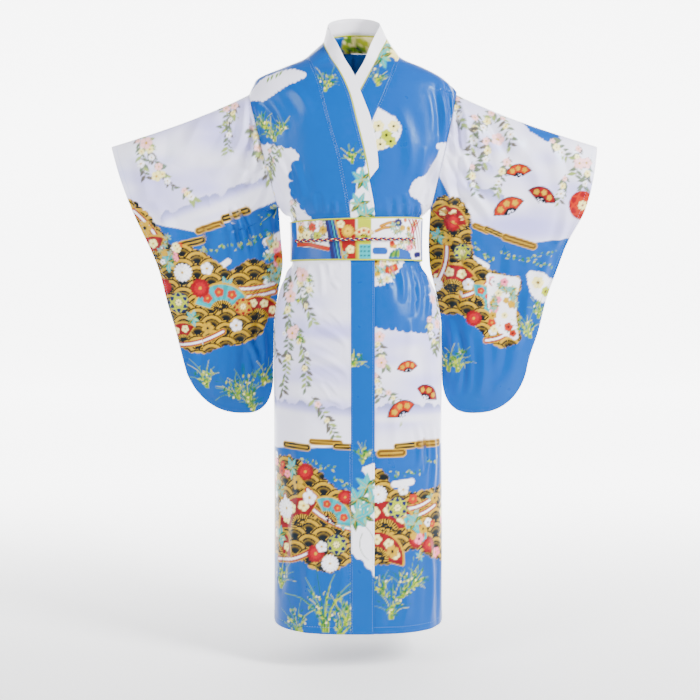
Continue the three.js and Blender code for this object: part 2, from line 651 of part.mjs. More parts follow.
// Half the depth between the front and back of the sleeve
function sleeveRoom(across, down, foot, armhole) {
  const { drop, cuffShare, cuffRoom, cuffRound, armRoom, hangRoom, armToHang, round } = SLEEVE;
  const width = lerp(SLEEVE.width.top, SLEEVE.width.foot, down);
  const belowFold = clamp01((down * drop) / round.fold);
  const arm = lerp(armRoom.body, armRoom.cuff, across);
  const hang = lerp(hangRoom.top, hangRoom.foot, down);
  const filled = lerp(arm, hang, smooth(armToHang.from, armToHang.to, down));
  const main = filled * Math.sqrt(1 - (1 - belowFold) ** 2);
  const arch = down < cuffShare ? Math.sin((Math.PI * down) / cuffShare) ** cuffRound : 0;
  const toMain = quarterRise(across * width, round.armhole);
  const toCuff = 1 - quarterRise((1 - across) * width, round.cuff);
  const room = lerp(lerp(armhole, main, toMain), cuffRoom * arch, toCuff);
  return WALL * SLEEVE.edgeRoom + SEAM / 2 + room * quarterRise((foot - down) * drop, round.foot);
}

const sleeveEdges = {};
for (const side of ["right", "left"]) {
  sleeveEdges[side] = { inner: curve(SLEEVE_INNER, side), outer: curve(SLEEVE_OUTER, side) };
}

function sleevePoint(side, across, fall) {
  const sign = FRONTS[side].sign;
  const foot = sleeveFoot(across);
  const down = Math.abs(fall) ** SLEEVE.crowding * foot;
  const innerZ = lerp(SHOULDER_Z, SLEEVE.bottomZ, down);
  const outerZ = lerp(SLEEVE_OUTER[0].z, SLEEVE.bottomZ, down);
  const sewn = innerZ >= UNDERARM_Z;
  const armholeEdge = armholeX(innerZ) + sign * body.shift(innerZ);
  const innerX = (sewn ? armholeEdge : sleeveEdges[side].inner(innerZ)) + SLEEVE.setOut;
  const arch = Math.sin(Math.PI * clamp01(across) ** SLEEVE.slackLean);
  const slack = arch * (1 - smooth(0, SLEEVE.slackTo, down));
  const x = lerp(innerX, sleeveEdges[side].outer(outerZ), across);
  const z = lerp(innerZ, outerZ, across) - SLEEVE.sag * slack;
  const near = sewn ? bodyPoint(-armholeAngle(innerZ), innerZ).y : 0;
  const far = sewn ? bodyPoint(armholeAngle(innerZ), innerZ).y : 0;
  const hung = SLEEVE.hangBack * smooth(SLEEVE.swing.from, SLEEVE.swing.to, down);
  const width = lerp(SLEEVE.width.top, SLEEVE.width.foot, down);
  const atArmhole = sewn ? (near + far) / 2 : hung;
  const middle = lerp(atArmhole, hung, quarterRise(across * width, SLEEVE.round.armhole));
  const room = sleeveRoom(across, down, foot, (far - near) / 2);
  const panel = fall < 0 ? "front" : "back";
  const half = room + sleeveFold(side, panel, across, down);
  const y = middle + Math.sign(fall) * half * clamp01(Math.abs(fall) / SLEEVE.foldShare);
  return new THREE.Vector3(sign * x, y, z);
}

// The front and back of a sleeve are two solids that meet along the fold
function sleeve(side, panel) {
  const towards = panel === "front" ? -1 : 1;
  // Columns crowd towards both edges, which round off
  const columns = steps(FACES.sleeve).map((t) => (1 - Math.cos(Math.PI * t)) / 2);
  const place = (u, v) => {
    const p = sleevePoint(side, u, towards * v);
    p.y += (towards * SEAM) / 2;
    return p;
  };
  return clothWall(place, columns, steps(FACES.sleeveFall), WALL);
}

const COLOURS = { blue: 0x1f7fd0, mist: 0xe4e2ee, white: 0xf3f0f4, lime: 0xe3e86a, red: 0xb5241f };
const PIECES = [
  ...["right", "left"].flatMap((side) => [
    ...["upper", "lower"].flatMap((half) => [
      [`${side}_front_${half}`, frontPanel(side, half), "blue"],
      [`${side}_back_${half}`, backPanel(side, half), "blue"],
      [`${side}_band_${half}`, neckBand(side, half), "blue"],
    ]),
    [`${side}_sleeve_front`, sleeve(side, "front"), "mist"],
    [`${side}_sleeve_back`, sleeve(side, "back"), "mist"],
  ]),
  ["white_collar", whiteCollar(), "white"],
  ["collar_piping", collarPiping(), "lime"],
  ["sash", sash(), "blue"],
  ["sash_piping_upper", sashPiping(1), "lime"],
  ["sash_piping_lower", sashPiping(0), "lime"],
  ["sash_cord", sashCord(), "red"],
];

const robe = new THREE.Group();
for (const [name, geometry, colour] of PIECES) {
  const cloth = { color: COLOURS[colour], roughness: 0.5, metalness: 0 };
  const mesh = new THREE.Mesh(geometry, new THREE.MeshStandardMaterial(cloth));
  mesh.name = name;
  robe.add(mesh);
}

export default robe;
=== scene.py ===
import math

import bpy
import numpy as np
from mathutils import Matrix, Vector


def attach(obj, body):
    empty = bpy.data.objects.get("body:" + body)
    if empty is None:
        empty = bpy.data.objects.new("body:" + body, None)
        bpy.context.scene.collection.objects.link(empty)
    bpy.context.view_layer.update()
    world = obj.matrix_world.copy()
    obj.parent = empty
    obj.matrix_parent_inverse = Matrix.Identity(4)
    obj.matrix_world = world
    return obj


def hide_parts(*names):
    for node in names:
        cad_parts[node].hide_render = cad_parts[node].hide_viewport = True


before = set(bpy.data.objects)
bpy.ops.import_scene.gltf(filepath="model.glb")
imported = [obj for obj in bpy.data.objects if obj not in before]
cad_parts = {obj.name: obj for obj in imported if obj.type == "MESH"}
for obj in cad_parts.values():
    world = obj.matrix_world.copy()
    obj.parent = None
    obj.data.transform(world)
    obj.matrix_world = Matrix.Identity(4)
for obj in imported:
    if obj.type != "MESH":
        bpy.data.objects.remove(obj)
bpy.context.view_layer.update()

# Cloth and trim, in millimetres
WALL = 1.6  # the cloth solids' wall, whose outer face the cloth keeps
CLOTH = 0.9  # thickness of the cloth
SASH_WALL = 2.4
SASH_CLOTH = 1.6
SEAM = 0.3
CLOTH_GAP = 0.05  # the thin cloths meet closer than the solids
PIPING = 2.6
CORD = 7.2

HEM_Z = -1332
SASH_BOTTOM_Z = -486
SASH_TOP_Z = -392
UNDERARM_Z = -358
SHOULDER_Z = -90
NAPE_Z = 27.5
NECK_HALF_WIDTH = 108

OVERLAP_LIFT = 2.5  # the wearer's right front lies this far outside the left one
OVERLAP_START = {"x": -150, "z": -14}
OVERLAP_FULL = {"x": -105, "z": -60}
SASH_CLEARANCE = 1.2
SASH_LAP = 0.03  # how far the sash's ends run past the middle of the back, in turns
SASH_TILT = 0.03
CORD_SPAN = (0.345, 0.668)  # ends of the cord, in turns of the sash
CORD_SHARE = 0.49

SIDES = ("right", "left")
OTHER = {"right": "left", "left": "right"}
SIGN = {"right": -1, "left": 1}


def table(columns, *rows):
    """Rows of numbers by column name."""
    return [dict(zip(columns.split(), row)) for row in rows]


# Level sections of the body: half width, depth before and behind the side line, how far
# the middle stands to the wearer's left, and how square the corners are
BODY = table(
    "z half front back shift square",
    (-1336, 199, 163, 152, 11, 3),
    (-1100, 199, 155, 149, 11, 2.8),
    (-900, 199, 146, 148, 10, 2.6),
    (-713, 200, 137, 150, 10, 2.5),
    (-629, 197, 130, 142, 9, 2.4),
    (-557, 184, 121, 126, 8, 2.3),
    (-514, 163, 111, 110, 7, 2.3),
    (-496, 153, 106, 102, 7, 2.3),
    (-440, 152, 105, 99, 7, 2.3),
    (-384, 154, 107, 100, 7, 2.3),
    (-371, 168, 111, 104, 5, 2.3),
    (-358, 181, 113, 106, 3, 2.3),
    (-339, 196, 114, 108, 2, 2.3),
    (-287, 223, 115, 112, 1, 2.3),
    (-220, 247, 114, 116, 0, 2.3),
    (-150, 261, 108, 115, -1, 2.3),
    (-110, 255, 101, 109, -2, 2.3),
    (-90, 246, 96, 105, -2, 2.3),
    (-72, 236, 91, 101, -3, 2.3),
    (-56, 223, 85, 97, -7, 2.3),
    (-30, 171, 71, 91, -1, 2.3),
    (-10, 123, 59, 87, 0, 2.3),
    (0, 109, 54, 86, 0, 2.3),
    (12, 105, 50, 86, 0, 2.3),
    (30, 104, 46, 85, 0, 2.3),
)

# The neck band on each front, by the height of its seam: how far its seam, its piped edge
# and the white collar's rim stand from the middle, and where the last two lie
BAND_COLUMNS = "z seam edge edgeZ edgeY rim rimZ rimY"
RIGHT_BAND = table(
    BAND_COLUMNS,
    (0, 108, 71, 34, 2, 61, 74, -4),
    (-12, 106, 67, 19, -24, 53, 50, -34),
    (-30, 99, 57, -5, -48, 38, 20, -57),
    (-55, 89, 38, -40, None, 20, -18, -75),
    (-80, 79, 20, -76, None, -1, -58, None),
    (-110, 72, 7, -110, None, -17, -102, None),
    (-170, 57, -8, -170, None, -40, -166, None),
    (-251, 34, -28, -251, None, -54, -238, None),
    (-302, 24, -37, -302, None, -57, -276, None),
    (-389, 10, -50, -389, None, None, None, None),
    (-484, 7, -50, -484, None, None, None, None),
    (-1336, 5, -48, -1336, None, None, None, None),
)
LEFT_BAND = table(
    BAND_COLUMNS,
    (0, 108, 80, 42, 2, 63, 76, -4),
    (-12, 106, 72, 23, -24, 54, 51, -34),
    (-30, 99, 60, -4, -48, 40, 18, -57),
    (-55, 90, 43, -42, None, 25, -22, -74),
    (-80, 79, 26, -77, None, 4, -62, None),
    (-110, 68, 9, -110, None, -15, -103, None),
    (-170, 42, -20, -170, None, -46, -166, None),
    (-251, 12, -50, -251, None, None, None, None),
    (-389, -30, -85, -389, None, None, None, None),
    (-484, -32, -86, -484, None, None, None, None),
    (-1336, -30, -84, -1336, None, None, None, None),
)
NAPE = {"edgeY": 77, "edgeZ": 70, "rimY": 72, "rimZ": 111}
WHITE_END = {"right": -302, "left": -170}
BAND_FREE_Z = -25
BAND_FLAT_Z = -60

SLEEVE_INNER = table(
    "z right left",
    (-358, 179, 184),
    (-437, 174, 180),
    (-485, 170, 182),
    (-557, 181, 198),
    (-640, 192, 212),
    (-760, 194, 214),
    (-853, 191, 213),
)
SLEEVE_OUTER = table(
    "z right left",
    (-214, 578, 582),
    (-293, 552, 568),
    (-365, 525, 549),
    (-437, 495, 514),
    (-509, 467, 488),
    (-581, 450, 464),
    (-653, 430, 447),
    (-725, 412, 424),
    (-853, 377, 402),
)
SLEEVE = {
    "bottomZ": -853,
    "setOut": 0.5,
    "drop": 700,
    "width": (340, 185),
    "sag": 8,
    "hangBack": 22,
    "cuffShare": 0.37,
    "cuffRoom": 26,
    "armRoom": (62, 36),
    "hangRoom": (26, 17),
    "round": {"fold": 75, "armhole": 75, "cuff": 70, "foot": 85},
    "cornerSplit": 0.4,
    "cornerRise": (0.135, 0.2),
    "cornerSquare": 2.5,
    "cornerReach": 0.99,
    "edgeRoom": 0.58,
    "cuffRound": 0.8,
    "crowding": 1.45,
    "foldShare": 0.02,
    "armToHang": (0.1, 0.5),
    "swing": (0.25, 0.7),
    "slackTo": 0.5,
    "slackLean": 0.8,
}

# Soft folds of the body by angle round it, in degrees from the wearer's left side
BODY_FOLDS = table(
    "angle top bottom wide depth",
    (336, -505, -1250, 10, 5),
    (314, -520, -900, 9, -3.5),
    (292, -500, -680, 7, 3),
    (205, -505, -1000, 10, 4),
    (228, -510, -760, 8, -3),
    (20, -505, -1332, 9, 5),
    (42, -520, -1332, 9, -5),
    (66, -505, -1150, 10, 4),
    (112, -505, -1332, 10, 5),
    (136, -520, -1200, 9, -5),
    (160, -505, -1332, 9, 5),
    (306, -150, -384, 10, 4),
    (226, -200, -384, 9, 3.5),
    (60, -170, -384, 11, 5),
    (84, -240, -384, 8, -3.5),
    (118, -190, -384, 11, 5),
)
FOLD_FADE = 90
ARMHOLE_SMOOTH = (2, 20)  # degrees beside the armhole without folds

# Soft folds of the sleeves: middle as shares across and down, length and width, and lean
# of the lower end towards the body in degrees. face is -1 in front and 1 behind.
SLEEVE_FOLD_COLUMNS = "across down long wide lean depth face"
SLEEVE_FOLDS = {
    "left": table(
        SLEEVE_FOLD_COLUMNS,
        (0.1, 0.15, 200, 16, -8, 5, -1),
        (0.24, 0.2, 230, 20, 14, -4, -1),
        (0.3, 0.62, 330, 28, 8, 5, -1),
        (0.72, 0.6, 300, 30, -6, -4, -1),
        (0.22, 0.3, 260, 22, 10, 5, 1),
        (0.55, 0.6, 340, 30, 6, 5, 1),
    ),
    "right": table(
        SLEEVE_FOLD_COLUMNS,
        (0.2, 0.2, 200, 18, 10, 4, -1),
        (0.42, 0.5, 340, 26, 12, 5, -1),
        (0.68, 0.52, 300, 28, 4, -4, -1),
        (0.15, 0.66, 260, 24, 2, 4, -1),
        (0.3, 0.28, 260, 22, 12, 5, 1),
        (0.6, 0.6, 340, 30, 5, -5, 1),
    ),
}


def lerp(a, b, t):
    return a + (b - a) * t


def smooth(start, end, t):
    s = np.clip((t - start) / (end - start), 0, 1)
    return s * s * (3 - 2 * s)


def signed_power(value, power):
    return np.sign(value) * np.abs(value) ** power


def xyz(x, y, z):
    return np.stack(np.broadcast_arrays(x, y, z), axis=-1).astype(float)


def distances(path):
    """How far along a path each of its points lies."""
    steps = np.linalg.norm(np.diff(path, axis=0), axis=1)
    return np.concatenate([[0], np.cumsum(steps)])


def directions(path):
    along = np.gradient(path, axis=0)
    return along / np.linalg.norm(along, axis=1, keepdims=True)


def curve(rows, column):
    """A monotone cubic through a table's rows: one column as a function of height."""
    given = sorted((row["z"], row[column]) for row in rows if row[column] is not None)
    z, value = np.array(given, float).T
    slope = np.diff(value) / np.diff(z)
    below, above = slope[:-1], slope[1:]
    total = np.where(below * above > 0, below + above, 1)
    middle = np.where(below * above > 0, 2 * below * above / total, 0)
    tangent = np.concatenate([slope[:1], middle, slope[-1:]])

    def at(height):
        height = np.clip(height, z[0], z[-1])
        i = np.clip(np.searchsorted(z, height, side="right") - 1, 0, len(z) - 2)
        step = z[i + 1] - z[i]
        t = (height - z[i]) / step
        return (
            (2 * t**3 - 3 * t**2 + 1) * value[i]
            + (t**3 - 2 * t**2 + t) * step * tangent[i]
            + (3 * t**2 - 2 * t**3) * value[i + 1]
            + (t**3 - t**2) * step * tangent[i + 1]
        )

    return at


body = {name: curve(BODY, name) for name in ("half", "front", "back", "shift", "square")}
band = {
    side: {name: curve(rows, name) for name in BAND_COLUMNS.split()[1:]}
    for side, rows in (("right", RIGHT_BAND), ("left", LEFT_BAND))
}


def angle_at(distance, z):
    """The angle off the side line at which the body stands this far from its middle."""
    share = np.clip(distance / body["half"](z), -1, 1)
    return np.arccos(signed_power(share, body["square"](z) / 2))


def armhole_x(z):
    low, high = body["half"](UNDERARM_Z), body["half"](SHOULDER_Z)
    return lerp(low, high, (z - UNDERARM_Z) / (SHOULDER_Z - UNDERARM_Z))


def armhole_angle(z):
    beside = (z > UNDERARM_Z) & (z < SHOULDER_Z)
    return np.where(beside, angle_at(armhole_x(z), z), 0)


def body_fold(angle, z):
    off_side = np.arcsin(np.abs(np.sin(angle)))
    first, last = (math.radians(degrees) for degrees in ARMHOLE_SMOOTH)
    beside = smooth(first, last, off_side - armhole_angle(z))
    kept = lerp(1, beside, smooth(UNDERARM_Z - FOLD_FADE / 2, UNDERARM_Z, z))
    depth = 0
    for fold in BODY_FOLDS:
        turn = (np.degrees(angle) - fold["angle"] + 540) % 360 - 180
        begun = smooth(fold["top"], fold["top"] - FOLD_FADE, z)
        lasting = smooth(fold["bottom"], fold["bottom"] + FOLD_FADE, z)
        if fold["bottom"] <= HEM_Z:
            lasting = 1
        depth = depth + fold["depth"] * np.exp(-((turn / fold["wide"]) ** 2)) * begun * lasting
    return depth * kept


def body_out(angle, z):
    """Level direction straight out of the body."""
    power = 2 / body["square"](z)
    deep = np.where(np.sin(angle) > 0, body["back"](z), body["front"](z))
    x = signed_power(np.cos(angle), power) / body["half"](z)
    y = signed_power(np.sin(angle), power) / deep
    size = np.hypot(x, y)
    return xyz(x / size, y / size, 0)


def body_point(angle, z):
    power = 2 / body["square"](z)
    deep = np.where(np.sin(angle) > 0, body["back"](z), body["front"](z))
    x = body["shift"](z) + body["half"](z) * signed_power(np.cos(angle), power)
    y = deep * signed_power(np.sin(angle), power)
    return xyz(x, y, z) + body_out(angle, z) * body_fold(angle, z)[..., None]


def front_angle(x, z):
    return 2 * math.pi - angle_at(x - body["shift"](z), z)


def lift_over(p, side):
    """The right front and its band are set out over the left front."""
    p[..., 1] -= SEAM / 2
    if side == "right":
        inward = smooth(OVERLAP_START["x"], OVERLAP_FULL["x"], p[..., 0])
        p[..., 1] -= OVERLAP_LIFT * inward * smooth(OVERLAP_START["z"], OVERLAP_FULL["z"], p[..., 2])
    return p


def on_front(side, x, z):
    return lift_over(body_point(front_angle(x, z), z), side)


def front_place(side):
    """A front panel from its band seam at 0 to its side seam or armhole at 1."""

    def place(across, z):
        seam = front_angle(SIGN[side] * (band[side]["seam"](z) + CLOTH_GAP), z)
        edge = armhole_angle(z)
        beside = math.pi + edge if side == "right" else 2 * math.pi - edge
        return lift_over(body_point(lerp(seam, beside, across), z), side)

    return place


def back_place(side):
    """A back panel from its side seam, armhole or neckline at 0 to the middle at 1."""

    def place(across, z):
        neck_x = NECK_HALF_WIDTH * np.sqrt(np.clip(1 - (z / NAPE_Z) ** 2, 0, 1))
        neckline = np.where(z > 0, angle_at(neck_x, z), 0)
        middle = angle_at(-SIGN[side] * body["shift"](z), z)
        off = lerp(np.maximum(armhole_angle(z), neckline), middle, across)
        p = body_point(math.pi - off if side == "right" else off, z)
        p[..., 1] += SEAM / 2
        return p

    return place


def neck_station(side, turn):
    """Seam, edge and rim of the neck band behind the neck: turn is 1 at the nape."""
    c, s = np.cos(turn * math.pi / 2), np.sin(turn * math.pi / 2)
    z = NAPE_Z * s
    line = np.where(z > 0, angle_at(NECK_HALF_WIDTH * c, z), 0)
    seam_y = body_point(line, z)[..., 1] * smooth(0, 0.25, turn)
    own = {name: at(0) for name, at in band[side].items()}
    sign = SIGN[side]
    return (
        xyz(sign * NECK_HALF_WIDTH * c, seam_y, z),
        xyz(
            sign * own["edge"] * c,
            lerp(own["edgeY"], NAPE["edgeY"], s),
            lerp(own["edgeZ"], NAPE["edgeZ"], s),
        ),
        xyz(
            sign * own["rim"] * c,
            lerp(own["rimY"], NAPE["rimY"], s),
            lerp(own["rimZ"], NAPE["rimZ"], s),
        ),
    )


def front_station(side, z):
    """The same on a front, at a seam height."""
    own = {name: at(z) for name, at in band[side].items()}
    standing = smooth(BAND_FLAT_Z, BAND_FREE_Z, z)

    def stand(name):
        height = own[name + "Z"]
        lying = on_front(side, SIGN[side] * own[name], np.minimum(height, 0))
        return xyz(lying[..., 0], lerp(lying[..., 1], own[name + "Y"], standing), height)

    return on_front(side, SIGN[side] * own["seam"], z), stand("edge"), stand("rim")


def station(side, t):
    """t is 0 at the nape and 1 at the side of the neck, then the seam's drop in metres."""
    behind = neck_station(side, 1 - np.minimum(t, 1))
    before = front_station(side, np.minimum(1 - t, 0) * 1000)
    on = (t > 1)[..., None]
    return [np.where(on, f, b) for f, b in zip(before, behind)]


def band_point(side, t, share):
    """A point of the neck band, share 0 at its seam and 1 at its edge."""
    seam, edge, _ = station(side, t)
    p = lerp(seam, edge, share[..., None])
    lying = on_front(side, p[..., 0], np.minimum(p[..., 2], -1))
    flat = smooth((BAND_FREE_Z - 5) / -1000, (BAND_FLAT_Z - 20) / -1000, t - 1)
    p[..., 1] = np.where(t > 1, lerp(p[..., 1], lying[..., 1], flat), p[..., 1])
    return p


def sash_point(turn, share, out):
    """The sash's middle surface. turn is 0 behind and runs round the wearer's left."""
    z = lerp(SASH_BOTTOM_Z, SASH_TOP_Z, share)
    angle = math.pi / 2 - 2 * math.pi * turn
    over_front = smooth(0.15, -0.35, np.sin(angle)) * OVERLAP_LIFT
    over_end = smooth(1 - 3 * SASH_LAP, 1 - SASH_LAP, turn) * (SASH_WALL + SEAM)
    away = WALL / 2 + SASH_CLEARANCE + SASH_WALL / 2 + over_front + over_end + out
    p = body_point(angle % (2 * math.pi), z) + body_out(angle, z) * np.asarray(away)[..., None]
    p[..., 2] += SASH_TILT * p[..., 0] * share
    return p


sleeve_edge = {
    side: (curve(SLEEVE_INNER, side), curve(SLEEVE_OUTER, side)) for side in SIDES
}


def quarter_rise(reached, over):
    return np.sin(math.pi / 2 * np.clip(reached / over, 0, 1))


def sleeve_foot(across):
    split, (inner, outer) = SLEEVE["cornerSplit"], SLEEVE["cornerRise"]
    on_inner = across < split
    off = np.where(on_inner, (split - across) / split, (across - split) / (1 - split))
    share = np.clip(off, 0, 1) * SLEEVE["cornerReach"]
    round_ = (1 - share ** SLEEVE["cornerSquare"]) ** (1 / SLEEVE["cornerSquare"])
    return 1 - np.where(on_inner, inner, outer) * (1 - round_)


def sleeve_fold(side, fall, across, down):
    width = lerp(*SLEEVE["width"], down)
    depth = 0
    for fold in SLEEVE_FOLDS[side]:
        dx, dz = (across - fold["across"]) * width, (down - fold["down"]) * SLEEVE["drop"]
        c, s = math.cos(math.radians(fold["lean"])), math.sin(math.radians(fold["lean"]))
        window = np.exp(-(((dz * c - dx * s) / (fold["long"] / 2)) ** 4))
        ridge = np.exp(-(((dx * c + dz * s) / fold["wide"]) ** 2))
        on_face = np.sign(fall) == fold["face"]
        depth = depth + on_face * fold["depth"] * ridge * window
    reach = SLEEVE["round"]
    edges = quarter_rise(across * width, reach["armhole"])
    edges = edges * quarter_rise((1 - across) * width, reach["cuff"])
    return depth * edges * smooth(0, 0.12, down) * smooth(1, 0.85, down)


def sleeve_room(across, down, foot, armhole):
    """Half the depth between the front and back of the sleeve."""
    reach, share = SLEEVE["round"], SLEEVE["cuffShare"]
    width = lerp(*SLEEVE["width"], down)
    below_fold = np.clip(down * SLEEVE["drop"] / reach["fold"], 0, 1)
    arm = lerp(*SLEEVE["armRoom"], across)
    hang = lerp(*SLEEVE["hangRoom"], down)
    filled = lerp(arm, hang, smooth(*SLEEVE["armToHang"], down))
    main = filled * np.sqrt(1 - (1 - below_fold) ** 2)
    arch = np.sin(math.pi * np.clip(down / share, 0, 1)) ** SLEEVE["cuffRound"]
    to_main = quarter_rise(across * width, reach["armhole"])
    to_cuff = 1 - quarter_rise((1 - across) * width, reach["cuff"])
    room = lerp(lerp(armhole, main, to_main), SLEEVE["cuffRoom"] * arch, to_cuff)
    closing = quarter_rise((foot - down) * SLEEVE["drop"], reach["foot"])
    return WALL * SLEEVE["edgeRoom"] + SEAM / 2 + room * closing


def sleeve_place(side):
    """across is 0 at the armhole and 1 at the cuff edge. fall is -1 at the foot of the
    front, 0 at the fold along the top and 1 at the foot of the back."""
    sign = SIGN[side]
    inner, outer = sleeve_edge[side]

    def place(across, fall):
        foot = sleeve_foot(across)
        down = np.abs(fall) ** SLEEVE["crowding"] * foot
        inner_z = lerp(SHOULDER_Z, SLEEVE["bottomZ"], down)
        outer_z = lerp(SLEEVE_OUTER[0]["z"], SLEEVE["bottomZ"], down)
        sewn = inner_z >= UNDERARM_Z
        armhole_edge = armhole_x(inner_z) + sign * body["shift"](inner_z)
        inner_x = np.where(sewn, armhole_edge, inner(inner_z)) + SLEEVE["setOut"]
        arch = np.sin(math.pi * np.clip(across, 0, 1) ** SLEEVE["slackLean"])
        slack = arch * (1 - smooth(0, SLEEVE["slackTo"], down))
        x = lerp(inner_x, outer(outer_z), across)
        z = lerp(inner_z, outer_z, across) - SLEEVE["sag"] * slack
        near = np.where(sewn, body_point(2 * math.pi - armhole_angle(inner_z), inner_z)[..., 1], 0)
        far = np.where(sewn, body_point(armhole_angle(inner_z), inner_z)[..., 1], 0)
        hung = SLEEVE["hangBack"] * smooth(*SLEEVE["swing"], down)
        width = lerp(*SLEEVE["width"], down)
        at_armhole = np.where(sewn, (near + far) / 2, hung)
        middle = lerp(at_armhole, hung, quarter_rise(across * width, SLEEVE["round"]["armhole"]))
        half = sleeve_room(across, down, foot, (far - near) / 2)
        half = half + sleeve_fold(side, fall, across, down)
        parting = np.clip(np.abs(fall) / SLEEVE["foldShare"], 0, 1)
        return xyz(sign * x, middle + np.sign(fall) * half * parting, z)

    return place


# Dyes of the print. The studio light is bright and pales them, so they are deep.
BLUE = (0, 71, 152)
MIST = (234, 232, 250)
HAZE = (178, 174, 240)
FAR_TREES = (140, 142, 190)
PALE = (244, 242, 250)
LIME = (170, 180, 0)
LEAF = (22, 88, 40)
YELLOW_GREEN = (96, 138, 0)
GREY_LEAF = (98, 110, 84)
PALE_LEAF = (140, 158, 84)
TWIG = (92, 86, 74)
PINK = (250, 120, 150)
BLUSH = (252, 190, 190)
CREAM = (250, 236, 150)
RED = (134, 0, 6)
ORANGE = (176, 40, 0)
GOLD = (188, 146, 0)
OCHRE = (92, 60, 6)
BLACK = (12, 9, 10)
NAVY = (24, 20, 78)
TURQUOISE = (0, 158, 166)
SEA_GREEN = (90, 180, 150)
THREAD = (92, 136, 196)


def linear(colour):
    c = np.array(colour, float) / 255
    return np.where(c <= 0.04045, c / 12.92, ((c + 0.055) / 1.055) ** 2.4)


